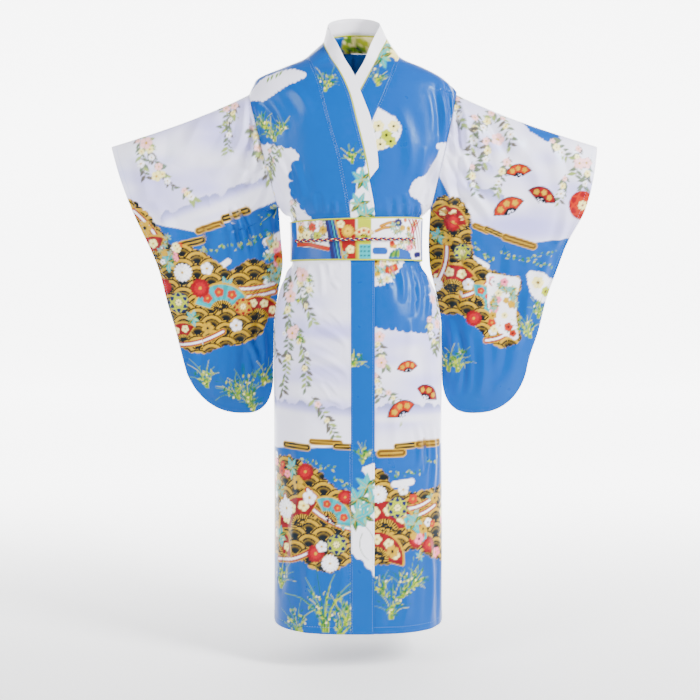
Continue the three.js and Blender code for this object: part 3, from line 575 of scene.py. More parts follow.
class Print:
    """Motifs laid one over another on points that are given by their place across a
    cloth and their height, both in millimetres."""

    EDGE = 1.6  # width of the soft edge of a motif
    CLEAR = 9  # a distance well outside any motif
    FAN_OPEN = 66  # half the angle of an open fan, in degrees
    FAN_PLEAT = 11  # the angle of one of its pleats
    RADIAN = 57  # degrees in a radian, rounded

    def __init__(self, across, height, ground, seed):
        self.shape = across.shape
        self.s, self.z = across.ravel(), height.ravel()
        self.colour = np.tile(linear(ground), (self.s.size, 1))
        self.chance = np.random.default_rng(seed)

    def shades(self):
        return self.colour.reshape(*self.shape, 3)

    def near(self, s, z, reach):
        return np.flatnonzero((np.abs(self.s - s) < reach) & (np.abs(self.z - z) < reach))

    def lay(self, where, outside, colour, strength=1):
        """Colour where the distance outside a motif is negative."""
        cover = strength * np.clip(0.5 - outside / self.EDGE, 0, 1)
        self.colour[where] += (linear(colour) - self.colour[where]) * cover[:, None]

    def wash(self, s, z, wide, high, colour, strength):
        """A soft cloud of colour."""
        where = self.near(s, z, 2.5 * max(wide, high))
        off = ((self.s[where] - s) / wide) ** 2 + ((self.z[where] - z) / high) ** 2
        cover = strength * np.exp(-off)
        self.colour[where] += (linear(colour) - self.colour[where]) * cover[:, None]

    def disc(self, s, z, radius, colour):
        where = self.near(s, z, 1.2 * radius)
        self.lay(where, np.hypot(self.s[where] - s, self.z[where] - z) - radius, colour)

    def turned(self, where, s, z, lean):
        c, d = math.cos(math.radians(lean)), math.sin(math.radians(lean))
        x, y = self.s[where] - s, self.z[where] - z
        return x * c + y * d, y * c - x * d

    def stroke(self, points, wide, colour, taper=0.0):
        """A line through points, thinner towards its end."""
        points = np.array(points, float)
        lengths = np.linalg.norm(np.diff(points, axis=0), axis=1)
        middle = (points.min(axis=0) + points.max(axis=0)) / 2
        reach = np.ptp(points, axis=0).max() / 2 + 2 * wide
        where = self.near(*middle, reach)
        if not len(where):
            return
        here = np.stack([self.s[where], self.z[where]], axis=1)
        outside = np.full(len(where), np.inf)
        done = 0
        for a, b, length in zip(points[:-1], points[1:], lengths):
            t = np.clip(((here - a) @ (b - a)) / length**2, 0, 1)
            off = np.linalg.norm(here - a - t[:, None] * (b - a), axis=1)
            thinner = 1 - taper * (done + t * length) / lengths.sum()
            outside = np.minimum(outside, off - wide / 2 * thinner)
            done += length
        self.lay(where, outside, colour)

    def arc(self, start, end, bow, wide, colour, taper):
        """A line that bows to one side, as a share of its length."""
        a, b = np.array(start, float), np.array(end, float)
        side = np.array([-(b - a)[1], (b - a)[0]])
        t = np.linspace(0, 1, 7)[:, None]
        self.stroke(a + (b - a) * t + side * bow * 4 * t * (1 - t), wide, colour, taper)

    def leaf(self, s, z, long, lean, colour, wide=0.34):
        """A pointed leaf from its stalk. lean is counted from straight up."""
        where = self.near(s, z, long * 1.1)
        if not len(where):
            return
        y, x = self.turned(where, s, z, 90 - lean)
        t = np.clip(y / long, 0, 1)
        outside = np.maximum(np.abs(x) - long * wide / 2 * np.sin(math.pi * t**0.8), -y)
        self.lay(where, np.maximum(outside, y - long), colour)

    def flower(self, s, z, radius, petals, colour, heart, depth=0.35, turn=0):
        where = self.near(s, z, 1.1 * radius)
        if not len(where):
            return
        x, y = self.turned(where, s, z, turn)
        off, round_ = np.hypot(x, y), np.abs(np.cos(petals / 2 * np.arctan2(y, x)))
        self.lay(where, off - radius * (1 - depth + depth * round_**0.7), colour)
        groove = (round_ < 0.28) & (off > 0.3 * radius)
        shade = tuple(0.8 * part for part in colour)
        self.lay(where, np.where(groove, off - 0.92 * radius, self.CLEAR), shade, 0.6)
        self.lay(where, off - 0.24 * radius, heart)

    def patch(self, points, colour, bumps=0.0):
        """An area with straight edges, or with a scalloped edge of round bumps."""
        points = np.array(points, float)
        middle = (points.min(axis=0) + points.max(axis=0)) / 2
        reach = np.ptp(points, axis=0).max() / 2 + 2 * bumps + 4
        where = self.near(*middle, reach)
        if not len(where):
            return
        here = np.stack([self.s[where], self.z[where]], axis=1)
        inside = np.zeros(len(where), bool)
        outside = np.full(len(where), np.inf)
        for a, b in zip(points, np.roll(points, -1, axis=0)):
            rising = (a[1] > here[:, 1]) != (b[1] > here[:, 1])
            if a[1] != b[1]:
                cross = a[0] + (here[:, 1] - a[1]) * (b[0] - a[0]) / (b[1] - a[1])
                inside ^= rising & (here[:, 0] < cross)
            t = np.clip(((here - a) @ (b - a)) / ((b - a) @ (b - a)), 0, 1)
            outside = np.minimum(outside, np.linalg.norm(here - a - t[:, None] * (b - a), axis=1))
        outside = np.where(inside, -outside, outside)
        if bumps:
            for a, b in zip(points, np.roll(points, -1, axis=0)):
                count = max(1, round(np.linalg.norm(b - a) / (1.5 * bumps)))
                for k in range(count):
                    centre = a + (b - a) * (k + 0.5) / count
                    size = bumps * self.chance.uniform(0.8, 1.25)
                    outside = np.minimum(outside, np.linalg.norm(here - centre, axis=1) - size)
        self.lay(where, outside, colour)
        return where, outside

    def spray(self, start, end, bow, size, blossoms):
        """A hanging twig with grey-green leaves and pale blossoms."""
        a, b = np.array(start, float), np.array(end, float)
        long = np.linalg.norm(b - a)
        self.arc(a, b, bow, 2.2 * size, TWIG, 0.6)
        side = np.array([-(b - a)[1], (b - a)[0]])
        lean = math.degrees(math.atan2((b - a)[0], (b - a)[1]))
        count = max(5, int(long / (5.5 * size)))
        for k in range(count):
            t = (k + 0.6) / count
            at = a + (b - a) * t + side * bow * 4 * t * (1 - t)
            off = (1 if k % 2 else -1) * self.chance.uniform(28, 75)
            shade = (GREY_LEAF, GREY_LEAF, PALE_LEAF, TWIG)[self.chance.integers(4)]
            self.leaf(*at, size * self.chance.uniform(13, 24), lean + off, shade, 0.4)
        for k in range(blossoms):
            t = (k + 0.5) / max(blossoms, 1) * 0.8
            at = a + (b - a) * t + side * (bow * 4 * t * (1 - t) + self.chance.uniform(-0.05, 0.05))
            shade = (BLUSH, CREAM, PALE, CREAM)[k % 4]
            self.flower(*at, size * self.chance.uniform(6, 10), 5, shade, GOLD, 0.3, 40 * k)

    def grass(self, s, z, size, lean, blades=11):
        """A tuft of fine arching blades with small leaves and seed heads."""
        for k in range(blades):
            share = (k + 0.5) / blades * 2 - 1
            tilt = math.radians(lean + 58 * share + self.chance.uniform(-8, 8))
            long = size * self.chance.uniform(0.6, 1.1) * (1 - 0.2 * abs(share))
            end = (s + long * math.sin(tilt), z + long * math.cos(tilt))
            shade = (YELLOW_GREEN, LEAF, LIME, YELLOW_GREEN)[k % 4]
            bow = 0.26 * share
            self.arc((s + 0.05 * size * share, z), end, bow, max(1.9, 0.02 * size), shade, 0.4)
        for k in range(int(size / 2)):
            side = self.chance.uniform(-1, 1)
            tilt = math.radians(lean + 40 * side)
            off = size * self.chance.uniform(0.1, 0.72) * (1 - 0.3 * abs(side))
            at = (s + off * math.sin(tilt), z + off * math.cos(tilt))
            if k % 4 == 0:
                self.disc(*at, self.chance.uniform(1.7, 2.8), (LIME, CREAM, LIME)[k % 3])
            else:
                shade = (LEAF, YELLOW_GREEN, LEAF, LIME)[self.chance.integers(4)]
                long = self.chance.uniform(7, 12)
                self.leaf(*at, long, lean + self.chance.uniform(-80, 80), shade, 0.36)

    def specks(self, start, end, count, spread=7):
        """Small floating leaves in a line."""
        a, b = np.array(start, float), np.array(end, float)
        for k in range(count):
            at = a + (b - a) * (k + self.chance.uniform(0, 1)) / count
            at = at + self.chance.normal(0, spread / 2, 2)
            shade = (YELLOW_GREEN, LIME, LEAF)[k % 3]
            self.leaf(*at, self.chance.uniform(5, 9), self.chance.uniform(0, 360), shade, 0.5)

    def bar(self, start, end, wide, colour=PALE):
        """A mist bar with round ends."""
        self.stroke([start, end], wide, colour)

    def leaves(self, s, z, size, turn):
        """A cluster of turquoise and green leaves with gold veins."""
        for k in range(7):
            lean = turn + 51 * k
            shade = (TURQUOISE, LEAF, SEA_GREEN)[k % 3]
            self.leaf(s, z, size * (1 - 0.12 * (k % 3)), lean, shade, 0.42)
            tip = math.radians(lean)
            end = (s + 0.8 * size * math.sin(tip), z + 0.8 * size * math.cos(tip))
            self.stroke([(s, z), end], 1.6, GOLD, 0.5)

    def waves(self, where, outside, size):
        """Overlapping rings in gold and black, the old sea wave pattern."""
        s, z = self.s[where], self.z[where]
        shade = np.tile(linear(BLACK), (len(where), 1))
        free = np.ones(len(where), bool)
        first = np.ceil((z - size) / (size / 2))
        for step in range(4):
            row = first + step
            offset = np.where(row % 2 == 0, 0, size)
            middle = np.round((s - offset) / (2 * size)) * 2 * size + offset
            off = np.hypot(s - middle, z - row * size / 2) / size
            on = free & (off < 1)
            ring = np.clip(np.sin(off * 3 * 2 * math.pi) * 1.6 + 1.2, 0, 1)[:, None]
            tone = lerp(linear(BLACK), linear(GOLD), smooth(0.3, 0.8, off)[:, None])
            shade[on] = lerp(linear(BLACK), tone, ring)[on]
            free &= ~on
        cover = np.clip(0.5 - outside / self.EDGE, 0, 1)[:, None]
        self.colour[where] += (shade - self.colour[where]) * cover

    def fan(self, s, z, radius, turn, colour, rim, flowers):
        """An open folding fan. turn is where its middle points, from straight up."""
        where = self.near(s, z, 1.1 * radius)
        if not len(where):
            return
        y, x = self.turned(where, s, z, 90 - turn)
        off, angle = np.hypot(x, y), np.degrees(np.arctan2(x, y))
        beside = (np.abs(angle) - self.FAN_OPEN) * off / self.RADIAN
        self.lay(where, np.maximum(off - radius, np.maximum(beside, 0.3 * radius - off)), rim)
        leaf = np.maximum(off - 0.93 * radius, np.maximum(beside + 2, 0.42 * radius - off))
        self.lay(where, leaf, colour)
        fold = np.where((angle // self.FAN_PLEAT) % 2 == 0, leaf, self.CLEAR)
        self.lay(where, fold, tuple(0.78 * part for part in colour), 0.7)
        rib = np.maximum(off - 0.42 * radius, beside)
        slats = np.where((angle // (self.FAN_PLEAT / 2)) % 2 == 0, rib, self.CLEAR)
        self.lay(where, slats, BLACK)
        for k, side in enumerate((-38, 0, 38)):
            tip = math.radians(turn + side)
            at = (s + 0.68 * radius * math.sin(tip), z + 0.68 * radius * math.cos(tip))
            self.flower(*at, 0.17 * radius, 5, flowers, GOLD, 0.3, 30 * k)

    def daisy(self, s, z, radius, colour, heart=GOLD):
        """A many-petalled chrysanthemum in two rings."""
        self.flower(s, z, radius, 16, colour, heart, 0.22)
        inner = tuple(min(255, 1.15 * part + 12) for part in colour)
        self.flower(s, z, 0.62 * radius, 12, inner, heart, 0.25, 11)

    def ball(self, s, z, radius, colour, other):
        """A thread ball with crossing bands."""
        where = self.near(s, z, 1.1 * radius)
        if not len(where):
            return
        off = np.hypot(self.s[where] - s, self.z[where] - z)
        self.lay(where, off - radius, colour)
        for lean in (0, 60, 120):
            across, along = self.turned(where, s, z, lean)
            bent = np.sqrt(np.clip(radius**2 - along**2, 0, None))
            line = np.abs(np.abs(across) - 0.42 * bent) - 0.07 * radius
            self.lay(where, np.maximum(line, off - 0.97 * radius), other)
        self.flower(s, z, 0.34 * radius, 8, CREAM, colour)

    def ribbon(self, points, wide, colour, stripe=PALE):
        """A ribbon with a stripe down its middle."""
        self.stroke(points, wide * 1.25, GOLD)
        self.stroke(points, wide, colour)
        self.stroke(points, wide * 0.4, stripe)


# The print. Every layout is in millimetres on the cloth: across and height.
CLOUD = 13  # size of the scallops on the edge of a cloud
WAVE = 34  # radius of a wave's rings


def mist(p, low, high, left, right, count):
    """Faint lavender banks on the white ground."""
    for _ in range(count):
        s, z = p.chance.uniform(left, right), p.chance.uniform(low, high)
        p.wash(s, z, p.chance.uniform(40, 90), p.chance.uniform(12, 26), HAZE, 0.55)


def far_trees(p, points, size):
    """A bank of distant trees in the haze, clear at the top and lost in mist below."""
    a, b = np.array(points[0], float), np.array(points[1], float)
    count = max(3, int(np.linalg.norm(b - a) / (0.9 * size)))
    top = [a + (b - a) * k / count + (0, size * p.chance.uniform(0.2, 1.9)) for k in range(count + 1)]
    p.patch([*top, b - (0, 0.8 * size), a - (0, 0.8 * size)], FAR_TREES, 0.34 * size)
    for k in range(count + 1):
        at = a + (b - a) * k / count
        p.wash(at[0], at[1] - 0.9 * size, 1.3 * size, 0.9 * size, MIST, 0.9)
        p.wash(at[0], at[1] + 0.2 * size, 1.2 * size, 0.8 * size, HAZE, 0.4)


def gold_bar(p, start, end, wide, dark=False):
    """A mist bar in ochre or black, with a gold edge and a fine gold line down its middle."""
    p.bar(start, end, wide, GOLD)
    p.bar(start, end, wide * 0.72, BLACK if dark else OCHRE)
    p.bar(start, end, wide * 0.16, GOLD)


def bent_ribbon(p, s, z, size, turn):
    """A red ribbon with one bend. size is half its length."""
    c, d = math.cos(math.radians(turn)), math.sin(math.radians(turn))
    start = np.array([s - size * d, z - size * c])
    end = np.array([s + size * d, z + size * c])
    bend = 0.16 * size * np.array([c, -d])
    share = np.linspace(0, 1, 9)[:, None]
    p.ribbon(start + (end - start) * share + bend * np.sin(math.pi * share), 13, RED)


# What each name in a field's list draws, from its place, size and turn
MOTIFS = {
    "fan": lambda p, s, z, size, turn: p.fan(s, z, size, turn, RED, GOLD, CREAM),
    "sea fan": lambda p, s, z, size, turn: p.fan(s, z, size, turn, TURQUOISE, GOLD, ORANGE),
    "daisy": lambda p, s, z, size, turn: p.daisy(s, z, size, RED),
    "white daisy": lambda p, s, z, size, turn: p.daisy(s, z, size, PALE),
    "blossom": lambda p, s, z, size, turn: p.flower(s, z, size, 5, PALE, GOLD, 0.3, turn),
    "gold flower": lambda p, s, z, size, turn: p.flower(s, z, size, 6, GOLD, BLACK, 0.4, turn),
    "ball": lambda p, s, z, size, turn: p.ball(s, z, size, RED, GOLD),
    "blue ball": lambda p, s, z, size, turn: p.ball(s, z, size, NAVY, LIME),
    "leaves": Print.leaves,
    "ribbon": bent_ribbon,
}


def field(p, points, bumps, spots):
    """The bright field: gold and black waves with a scalloped edge, below fans, flowers,
    thread balls and ribbons. Each spot is a motif's name, its place, size and turn."""
    where, outside = p.patch(points, GOLD, bumps)
    p.waves(where, outside, WAVE)
    for name, *spot in spots:
        MOTIFS[name](p, *spot)


def bank(p, points, count, size):
    """A dense bank of small flowers and leaves."""
    low, high = np.min(points, axis=0), np.max(points, axis=0)
    for k in range(count):
        s, z = p.chance.uniform(low[0], high[0]), p.chance.uniform(low[1], high[1])
        if k % 3 == 0:
            p.leaves(s, z, size * p.chance.uniform(0.7, 1.1), 40 * k)
        else:
            shade = (CREAM, PALE, PINK, GOLD, ORANGE)[k % 5]
            heart = (GOLD, BLACK)[k % 2]
            p.flower(s, z, size * p.chance.uniform(0.5, 0.8), 5, shade, heart, 0.3, 30 * k)


def sprays(p, rows, size, blossoms):
    """Hanging twigs, each bowed a little to one side or the other."""
    for start, end in rows:
        p.spray(start, end, p.chance.uniform(-0.14, 0.14), size, blossoms)


def grasses(p, rows):
    for s, z, size, lean in rows:
        p.grass(s, z, size, lean)


def pale_blossoms(p, places, size, turn=0):
    """Pale blossoms of one size."""
    for s, z in places:
        p.flower(s, z, size, 5, BLUSH, GOLD, 0.3, turn)


def loose_fans(p, rows):
    """Fans with black rims, by themselves on the mist."""
    for s, z, size, turn, colour in rows:
        p.fan(s, z, size, turn, colour, BLACK, GOLD)


def bites(p, places, radius):
    """Round bites of the blue ground out of a pale patch."""
    for place in places:
        p.disc(*place, radius, BLUE)


def nape_flowers(p, places):
    """Small green flowers on the cream behind the neck."""
    for s, z in places:
        p.flower(s, z, 11, 6, (LIME, YELLOW_GREEN)[z % 4 == 0], BLACK, 0.36, z)


def right_chest(p):
    p.wash(-246, -317, 60, 90, HAZE, 0.5)
    sprays(p, [((-167, -225), (-219, -403)), ((-143, -341), (-158, -407)),
        ((-185, -215), (-217, -317))], 0.8, 2)
    p.patch([(-56, 27), (-109, 15), (-198, 7), (-279, -29), (-320, -65), (-292, -221), (-224, -210),
        (-184, -206), (-125, -225), (-106, -248), (-140, -281), (-144, -327), (-108, -364),
        (-79, -392), (-74, -457), (71, -457), (72, 27)], BLUE, CLOUD)
    p.patch([(-307, -94), (-259, -92), (-222, -67), (-194, -56), (-166, -47), (-144, -45),
        (-126, -53), (-113, -61), (-133, -70), (-162, -81), (-187, -98), (-213, -111),
        (-246, -107), (-295, -115)], MIST, 6)
    grasses(p, [(-185, -213, 62, -18), (-205, -182, 50, -40), (-171, -197, 44, 12)])
    for place in ((-202, -58), (-192, -53), (-179, -49), (-170, -44)):
        p.leaf(*place, 16, 200, YELLOW_GREEN)


def right_skirt(p):
    mist(p, -860, -500, -170, 0, 16)
    p.wash(-188, -645, 30, 150, HAZE, 0.7)
    sprays(p, [((-146, -501), (-92, -631)), ((-176, -518), (-178, -795)), ((-146, -631), (-111, -782)),
        ((-238, -538), (-191, -715)), ((-115, -516), (-105, -572))], 1.0, 4)
    for s, z, size in ((-124, -521, 17), (-156, -570, 16), (-149, -655, 15)):
        p.flower(s, z, size, 5, BLUSH, GOLD, 0.3, 20)
        p.grass(s + 14, z - 8, 22, 110, 6)
    far_trees(p, ((-210, -822), (-3, -839)), 11)
    p.spray((-96, -800), (-42, -889), 0.05, 0.9, 2)
    p.patch([(-175, -919), (-3, -909), (-3, -1339), (-500, -1397), (-483, -939)], BLUE)
    gold_bar(p, (-96, -900), (-31, -902), 15)
    gold_bar(p, (-40, -909), (19, -911), 15, True)
    gold_bar(p, (-168, -911), (-106, -914), 17, True)
    p.specks((-118, -942), (-45, -963), 22)
    p.specks((-47, -979), (-3, -1001), 14, 12)
    p.bar((-82, -992), (-56, -1000), 15)
    points = [(-296, -946), (-149, -946), (-82, -971), (-49, -1011), (15, -1024), (15, -1150), (-17, -1164),
        (-44, -1186), (-86, -1179), (-125, -1156), (-205, -1162), (-494, -1171), (-484, -946)]
    field(p, points, 10, (
        ("ribbon", -44, -1042, 70, 118),
        ("ribbon", -54, -1065, 70, 118),
        ("ribbon", -137, -1157, 60, 70),
        ("ribbon", -193, -1086, 60, 20),
        ("fan", -205, -1162, 60, 30),
        ("daisy", -111, -969, 20, 0),
        ("leaves", -149, -964, 26, 30),
        ("white daisy", -53, -1173, 20, 0),
        ("leaves", -26, -1069, 30, 20),
        ("fan", -118, -1096, 74, -34),
        ("sea fan", -60, -1079, 58, 38),
        ("white daisy", -168, -1058, 24, 0),
        ("blue ball", -38, -1130, 23, 0),
        ("daisy", -86, -1152, 21, 0),
        ("gold flower", -132, -994, 17, 10),
        ("blossom", -101, -1027, 16, 10),
        ("blossom", -72, -1136, 13, 30),
        ("leaves", -188, -1124, 26, 10),
        ("daisy", -19, -1024, 17, 0),
    ))
    bank(p, [(-296, -936), (-162, -1034)], 34, 15)
    grasses(p, [(-63, -1326, 150, -4), (-35, -1339, 110, 24), (-120, -1345, 96, -20),
        (-187, -1245, 84, 6), (-19, -1312, 70, 10)])


def left_chest(p):
    p.patch([(339, -5), (328, -211), (210, -219), (200, -247), (169, -299), (137, -313),
        (138, -334), (167, -348), (224, -461), (15, -457), (15, 27)], BLUE)
    p.patch([(199, -224), (232, -216), (215, -266), (175, -294), (142, -308), (136, -332), (166, -346),
        (224, -403), (337, -403), (289, -197)], MIST, 6)
    p.wash(199, -289, 20, 30, FAR_TREES, 0.6)
    p.patch([(29, -128), (64, -149), (94, -165), (108, -186), (96, -214), (71, -228), (29, -244)],
        PALE, 5)
    bunch = ((61, -223), (75, -202), (92, -181), (57, -181), (85, -216))
    for k, place in enumerate(bunch):
        p.leaf(*place, 19, 70 * k, LEAF)
    for k, place in enumerate(bunch):
        p.flower(*place, 14, 6, (CREAM, LIME, CREAM)[k % 3], BLACK, 0.32, 25 * k)


def left_skirt(p):
    mist(p, -860, -640, 50, 200, 12)
    p.wash(195, -645, 30, 120, HAZE, 0.8)
    p.patch([(132, -477), (122, -509), (100, -531), (75, -551), (38, -567), (38, -630), (79, -640),
        (133, -644), (178, -644), (185, -603), (179, -566), (185, -530), (237, -504), (231, -480)],
        BLUE, CLOUD * 0.8)
    bank(p, [(48, -485), (100, -536)], 16, 15)
    sprays(p, [((243, -490), (203, -622)), ((265, -545), (200, -696)), ((185, -616), (211, -697)),
        ((56, -651), (75, -735)), ((49, -744), (61, -803)), ((70, -785), (112, -855)),
        ((62, -499), (106, -485))], 0.9, 4)
    pale_blossoms(p, [(59, -662), (63, -721), (201, -576), (214, -634)], 13, 15)
    far_trees(p, ((56, -835), (229, -839)), 11)
    loose_fans(p, [(117, -846, 40, -24, ORANGE), (172, -809, 36, 26, RED), (127, -746, 30, -8, ORANGE)])
    p.patch([(15, -923), (107, -918), (195, -912), (394, -922), (410, -1397), (15, -1340)], BLUE)
    gold_bar(p, (61, -926), (112, -925), 20)
    gold_bar(p, (98, -911), (142, -909), 16, True)
    gold_bar(p, (152, -908), (216, -909), 18)
    p.specks((70, -975), (157, -972), 24)
    p.specks((169, -946), (216, -948), 12, 8)
    p.bar((93, -996), (134, -992), 15)
    points = [(15, -957), (65, -975), (88, -1017), (136, -1028), (215, -1017), (424, -1042),
        (430, -1205), (207, -1169), (146, -1133), (111, -1144), (83, -1165), (15, -1173)]
    field(p, points, 10, (
        ("ribbon", 136, -1042, 60, 82),
        ("ribbon", 141, -1061, 60, 82),
        ("fan", 51, -1164, 66, 40),
        ("leaves", 70, -1052, 26, 40),
        ("daisy", 146, -1124, 20, 0),
        ("fan", 70, -1106, 78, 12),
        ("sea fan", 126, -1118, 50, 48),
        ("blue ball", 100, -1049, 24, 0),
        ("white daisy", 56, -1018, 20, 0),
        ("daisy", 180, -1139, 19, 0),
        ("gold flower", 88, -1147, 15, 20),
        ("leaves", 141, -1083, 28, 5),
        ("blossom", 114, -1009, 13, 30),
    ))
    bank(p, [(136, -1028), (324, -1167)], 30, 17)
    grasses(p, [(85, -1300, 96, 6), (109, -1252, 100, 26), (69, -1246, 64, -24),
        (133, -1231, 60, 40)])


def right_band(p):
    p.grass(-65, -101, 66, 12, 9)
    p.grass(-3, -267, 50, -8, 8)
    p.grass(10, -262, 34, 60, 6)
    p.patch([(-25, 106), (15, 106), (15, 12), (-25, 12)], CREAM)
    nape_flowers(p, [(-20, 42), (-8, 36), (-12, 60), (-4, 82)])
    p.patch([(29, -258), (8, -283), (6, -332), (-8, -355), (-6, -406), (61, -406), (61, -258)], PALE)
    bites(p, [(17, -267), (1, -304), (-10, -341)], 11)
    for k, place in enumerate(((20, -304), (13, -360), (29, -385))):
        p.leaves(*place, 30, 24 * k)
    p.grass(-8, -732, 56, 40, 8)
    p.grass(20, -948, 56, 6, 9)
    p.patch([(43, -948), (20, -957), (15, -999), (-8, -1017), (-20, -1036), (-20, -1140),
        (1, -1156), (24, -1175), (47, -1203), (71, -1203), (71, -948)], PALE)
    bites(p, [(6, -952), (15, -976), (-3, -989), (6, -1003), (-8, -1161), (13, -1175), (31, -1196)], 12)
    for k, place in enumerate(((31, -999), (8, -1029), (22, -1066), (41, -1036), (3, -1073))):
        p.leaves(*place, 32, 31 * k)
    p.arc((8, -1073), (47, -1175), 0.18, 2, GREY_LEAF, 0.5)
    p.arc((20, -1105), (34, -1165), -0.2, 2, GREY_LEAF, 0.5)


def left_band(p):
    p.patch([(-8, 106), (-8, 12), (41, 12), (48, -49), (76, -26), (91, -21), (156, -21), (156, 106)],
        CREAM)
    nape_flowers(p, [(8, 40), (20, 36), (14, 58), (27, 50), (22, 80)])
    bites(p, [(53, -35), (72, -26), (88, -19)], 9)
    p.leaves(65, -12, 34, 10)
    p.leaves(76, 17, 24, 40)
    p.grass(55, -87, 50, 4, 9)


def right_sleeve(p):
    mist(p, -420, -120, -560, -220, 26)
    p.wash(-281, -197, 90, 40, HAZE, 0.4)
    far_trees(p, ((-355, -360), (-205, -308)), 12)
    far_trees(p, ((-451, -394), (-343, -355)), 12)
    sprays(p, [((-508, -188), (-487, -293)), ((-487, -197), (-458, -264)), ((-463, -257), (-420, -317)),
        ((-305, -111), (-293, -236)), ((-281, -111), (-305, -174)), ((-243, -169), (-219, -245)),
        ((-219, -212), (-195, -298)), ((-401, -317), (-372, -346))], 1.0, 3)
    pale_blossoms(p, [(-489, -209)], 16)
    p.flower(-463, -288, 13, 5, CREAM, GOLD, 0.3)
    p.patch([(-475, -398), (-362, -420), (-271, -384), (-185, -346), (-128, -331), (-128, -915),
        (-559, -915), (-559, -398)], BLUE)
    gold_bar(p, (-367, -415), (-315, -398), 18)
    gold_bar(p, (-305, -386), (-250, -367), 19, True)
    gold_bar(p, (-410, -449), (-360, -437), 19, True)
    p.specks((-367, -465), (-300, -451), 22)
    p.specks((-286, -461), (-195, -413), 34, 11)
    p.specks((-219, -394), (-185, -355), 14, 9)
    p.bar((-315, -499), (-298, -487), 14)
    p.bar((-209, -441), (-166, -418), 16)
    points = [(-563, -331), (-511, -360), (-472, -408), (-434, -461), (-396, -456), (-338, -489),
        (-291, -523), (-243, -489), (-200, -504), (-176, -489), (-171, -532), (-209, -556),
        (-214, -623), (-233, -657), (-271, -676), (-315, -678), (-353, -700), (-396, -695),
        (-420, -671), (-511, -652)]
    field(p, points, 10, (
        ("ribbon", -257, -542, 66, 88),
        ("ribbon", -257, -561, 66, 88),
        ("ribbon", -377, -671, 66, 76),
        ("ribbon", -487, -418, 60, -34),
        ("fan", -228, -623, 56, 20),
        ("fan", -410, -685, 54, -30),
        ("leaves", -305, -547, 26, 40),
        ("daisy", -458, -547, 21, 0),
        ("sea fan", -315, -609, 72, -8),
        ("fan", -477, -489, 66, -40),
        ("daisy", -367, -551, 24, 0),
        ("white daisy", -408, -513, 22, 0),
        ("blue ball", -420, -585, 25, 0),
        ("gold flower", -496, -408, 18, 0),
        ("blossom", -350, -504, 15, 10),
        ("leaves", -444, -489, 26, 20),
        ("blossom", -281, -640, 15, 30),
        ("ball", -264, -595, 21, 0),
        ("gold flower", -350, -647, 15, 12),
        ("leaves", -386, -623, 22, 12),
    ))
    bank(p, [(-207, -427), (-171, -537)], 26, 16)
    bank(p, [(-463, -427), (-410, -489)], 12, 12)
    grasses(p, [(-252, -829, 108, -8), (-276, -819, 72, -34), (-219, -786, 66, 20),
        (-353, -791, 84, -14), (-243, -848, 58, -6)])


def left_sleeve(p):
    mist(p, -420, -120, 230, 560, 22)
    far_trees(p, ((269, -317), (350, -355)), 12)
    far_trees(p, ((303, -264), (322, -284)), 14)
    p.wash(398, -401, 110, 24, HAZE, 0.9)
    p.patch([(403, -154), (422, -181), (453, -202), (484, -202), (484, -154)], BLUE, 5)
    sprays(p, [((245, -95), (255, -174)), ((293, -140), (274, -241)), ((331, -131), (279, -188)),
        ((343, -145), (367, -221)), ((312, -197), (298, -274)), ((365, -245), (336, -331)),
        ((465, -197), (508, -245)), ((532, -212), (523, -288)), ((556, -241), (527, -331)),
        ((499, -284), (484, -351)), ((279, -257), (293, -331))], 1.0, 3)
    pale_blossoms(p, [(338, -202)], 16)
    pale_blossoms(p, [(532, -257), (551, -255)], 14)
    loose_fans(p, [(374, -379, 44, -26, ORANGE), (437, -351, 40, 24, RED), (389, -293, 34, -6, ORANGE)])
    p.ball(542, -355, 34, RED, ORANGE)
    p.patch([(159, -221), (216, -317), (245, -374), (288, -403), (350, -427), (422, -444), (508, -432),
        (637, -437), (637, -915), (111, -915), (111, -221)], BLUE)
    gold_bar(p, (288, -403), (317, -415), 16)
    gold_bar(p, (315, -410), (350, -425), 14, True)
    gold_bar(p, (360, -430), (427, -451), 19)
    p.specks((264, -432), (336, -489), 26)
    p.specks((346, -465), (475, -499), 40, 9)
    p.specks((422, -480), (489, -461), 16)
    p.bar((183, -394), (212, -441), 15)
    p.bar((283, -480), (317, -499), 14)
    p.patch([(420, -516), (446, -516), (468, -532), (499, -537), (499, -585),
        (451, -580), (427, -561)], PALE, 6)
    p.flower(441, -537, 15, 6, CREAM, OCHRE, 0.35)
    p.flower(463, -559, 13, 6, LIME, OCHRE, 0.35, 20)
    points = [(169, -408), (207, -341), (240, -341), (269, -374), (269, -437), (279, -489), (317, -513),
        (365, -528), (398, -532), (384, -580), (391, -633), (393, -676), (360, -690), (327, -671),
        (298, -633), (260, -604), (207, -604), (159, -571)]
    field(p, points, 9, (
        ("fan", 236, -556, 66, -8),
        ("fan", 221, -403, 50, 24),
        ("ribbon", 212, -489, 50, 12),
        ("ribbon", 293, -551, 40, 60),
        ("daisy", 288, -623, 20, 0),
        ("sea fan", 293, -590, 52, 56),
        ("daisy", 236, -394, 22, 0),
        ("blue ball", 260, -465, 20, 0),
        ("gold flower", 226, -437, 14, 10),
        ("white daisy", 197, -542, 17, 0),
        ("blossom", 274, -542, 14, 20),
        ("leaves", 202, -427, 22, 0),
        ("ribbon", 346, -666, 30, 70),
    ))
    p.patch([(322, -520), (396, -530), (384, -575), (391, -671), (350, -652), (327, -595)], PALE, 5)
    bank(p, [(327, -528), (386, -662)], 30, 15)
    grasses(p, [(250, -752, 76, 12), (231, -752, 70, -6), (427, -671, 76, -22),
        (446, -623, 60, 4)])


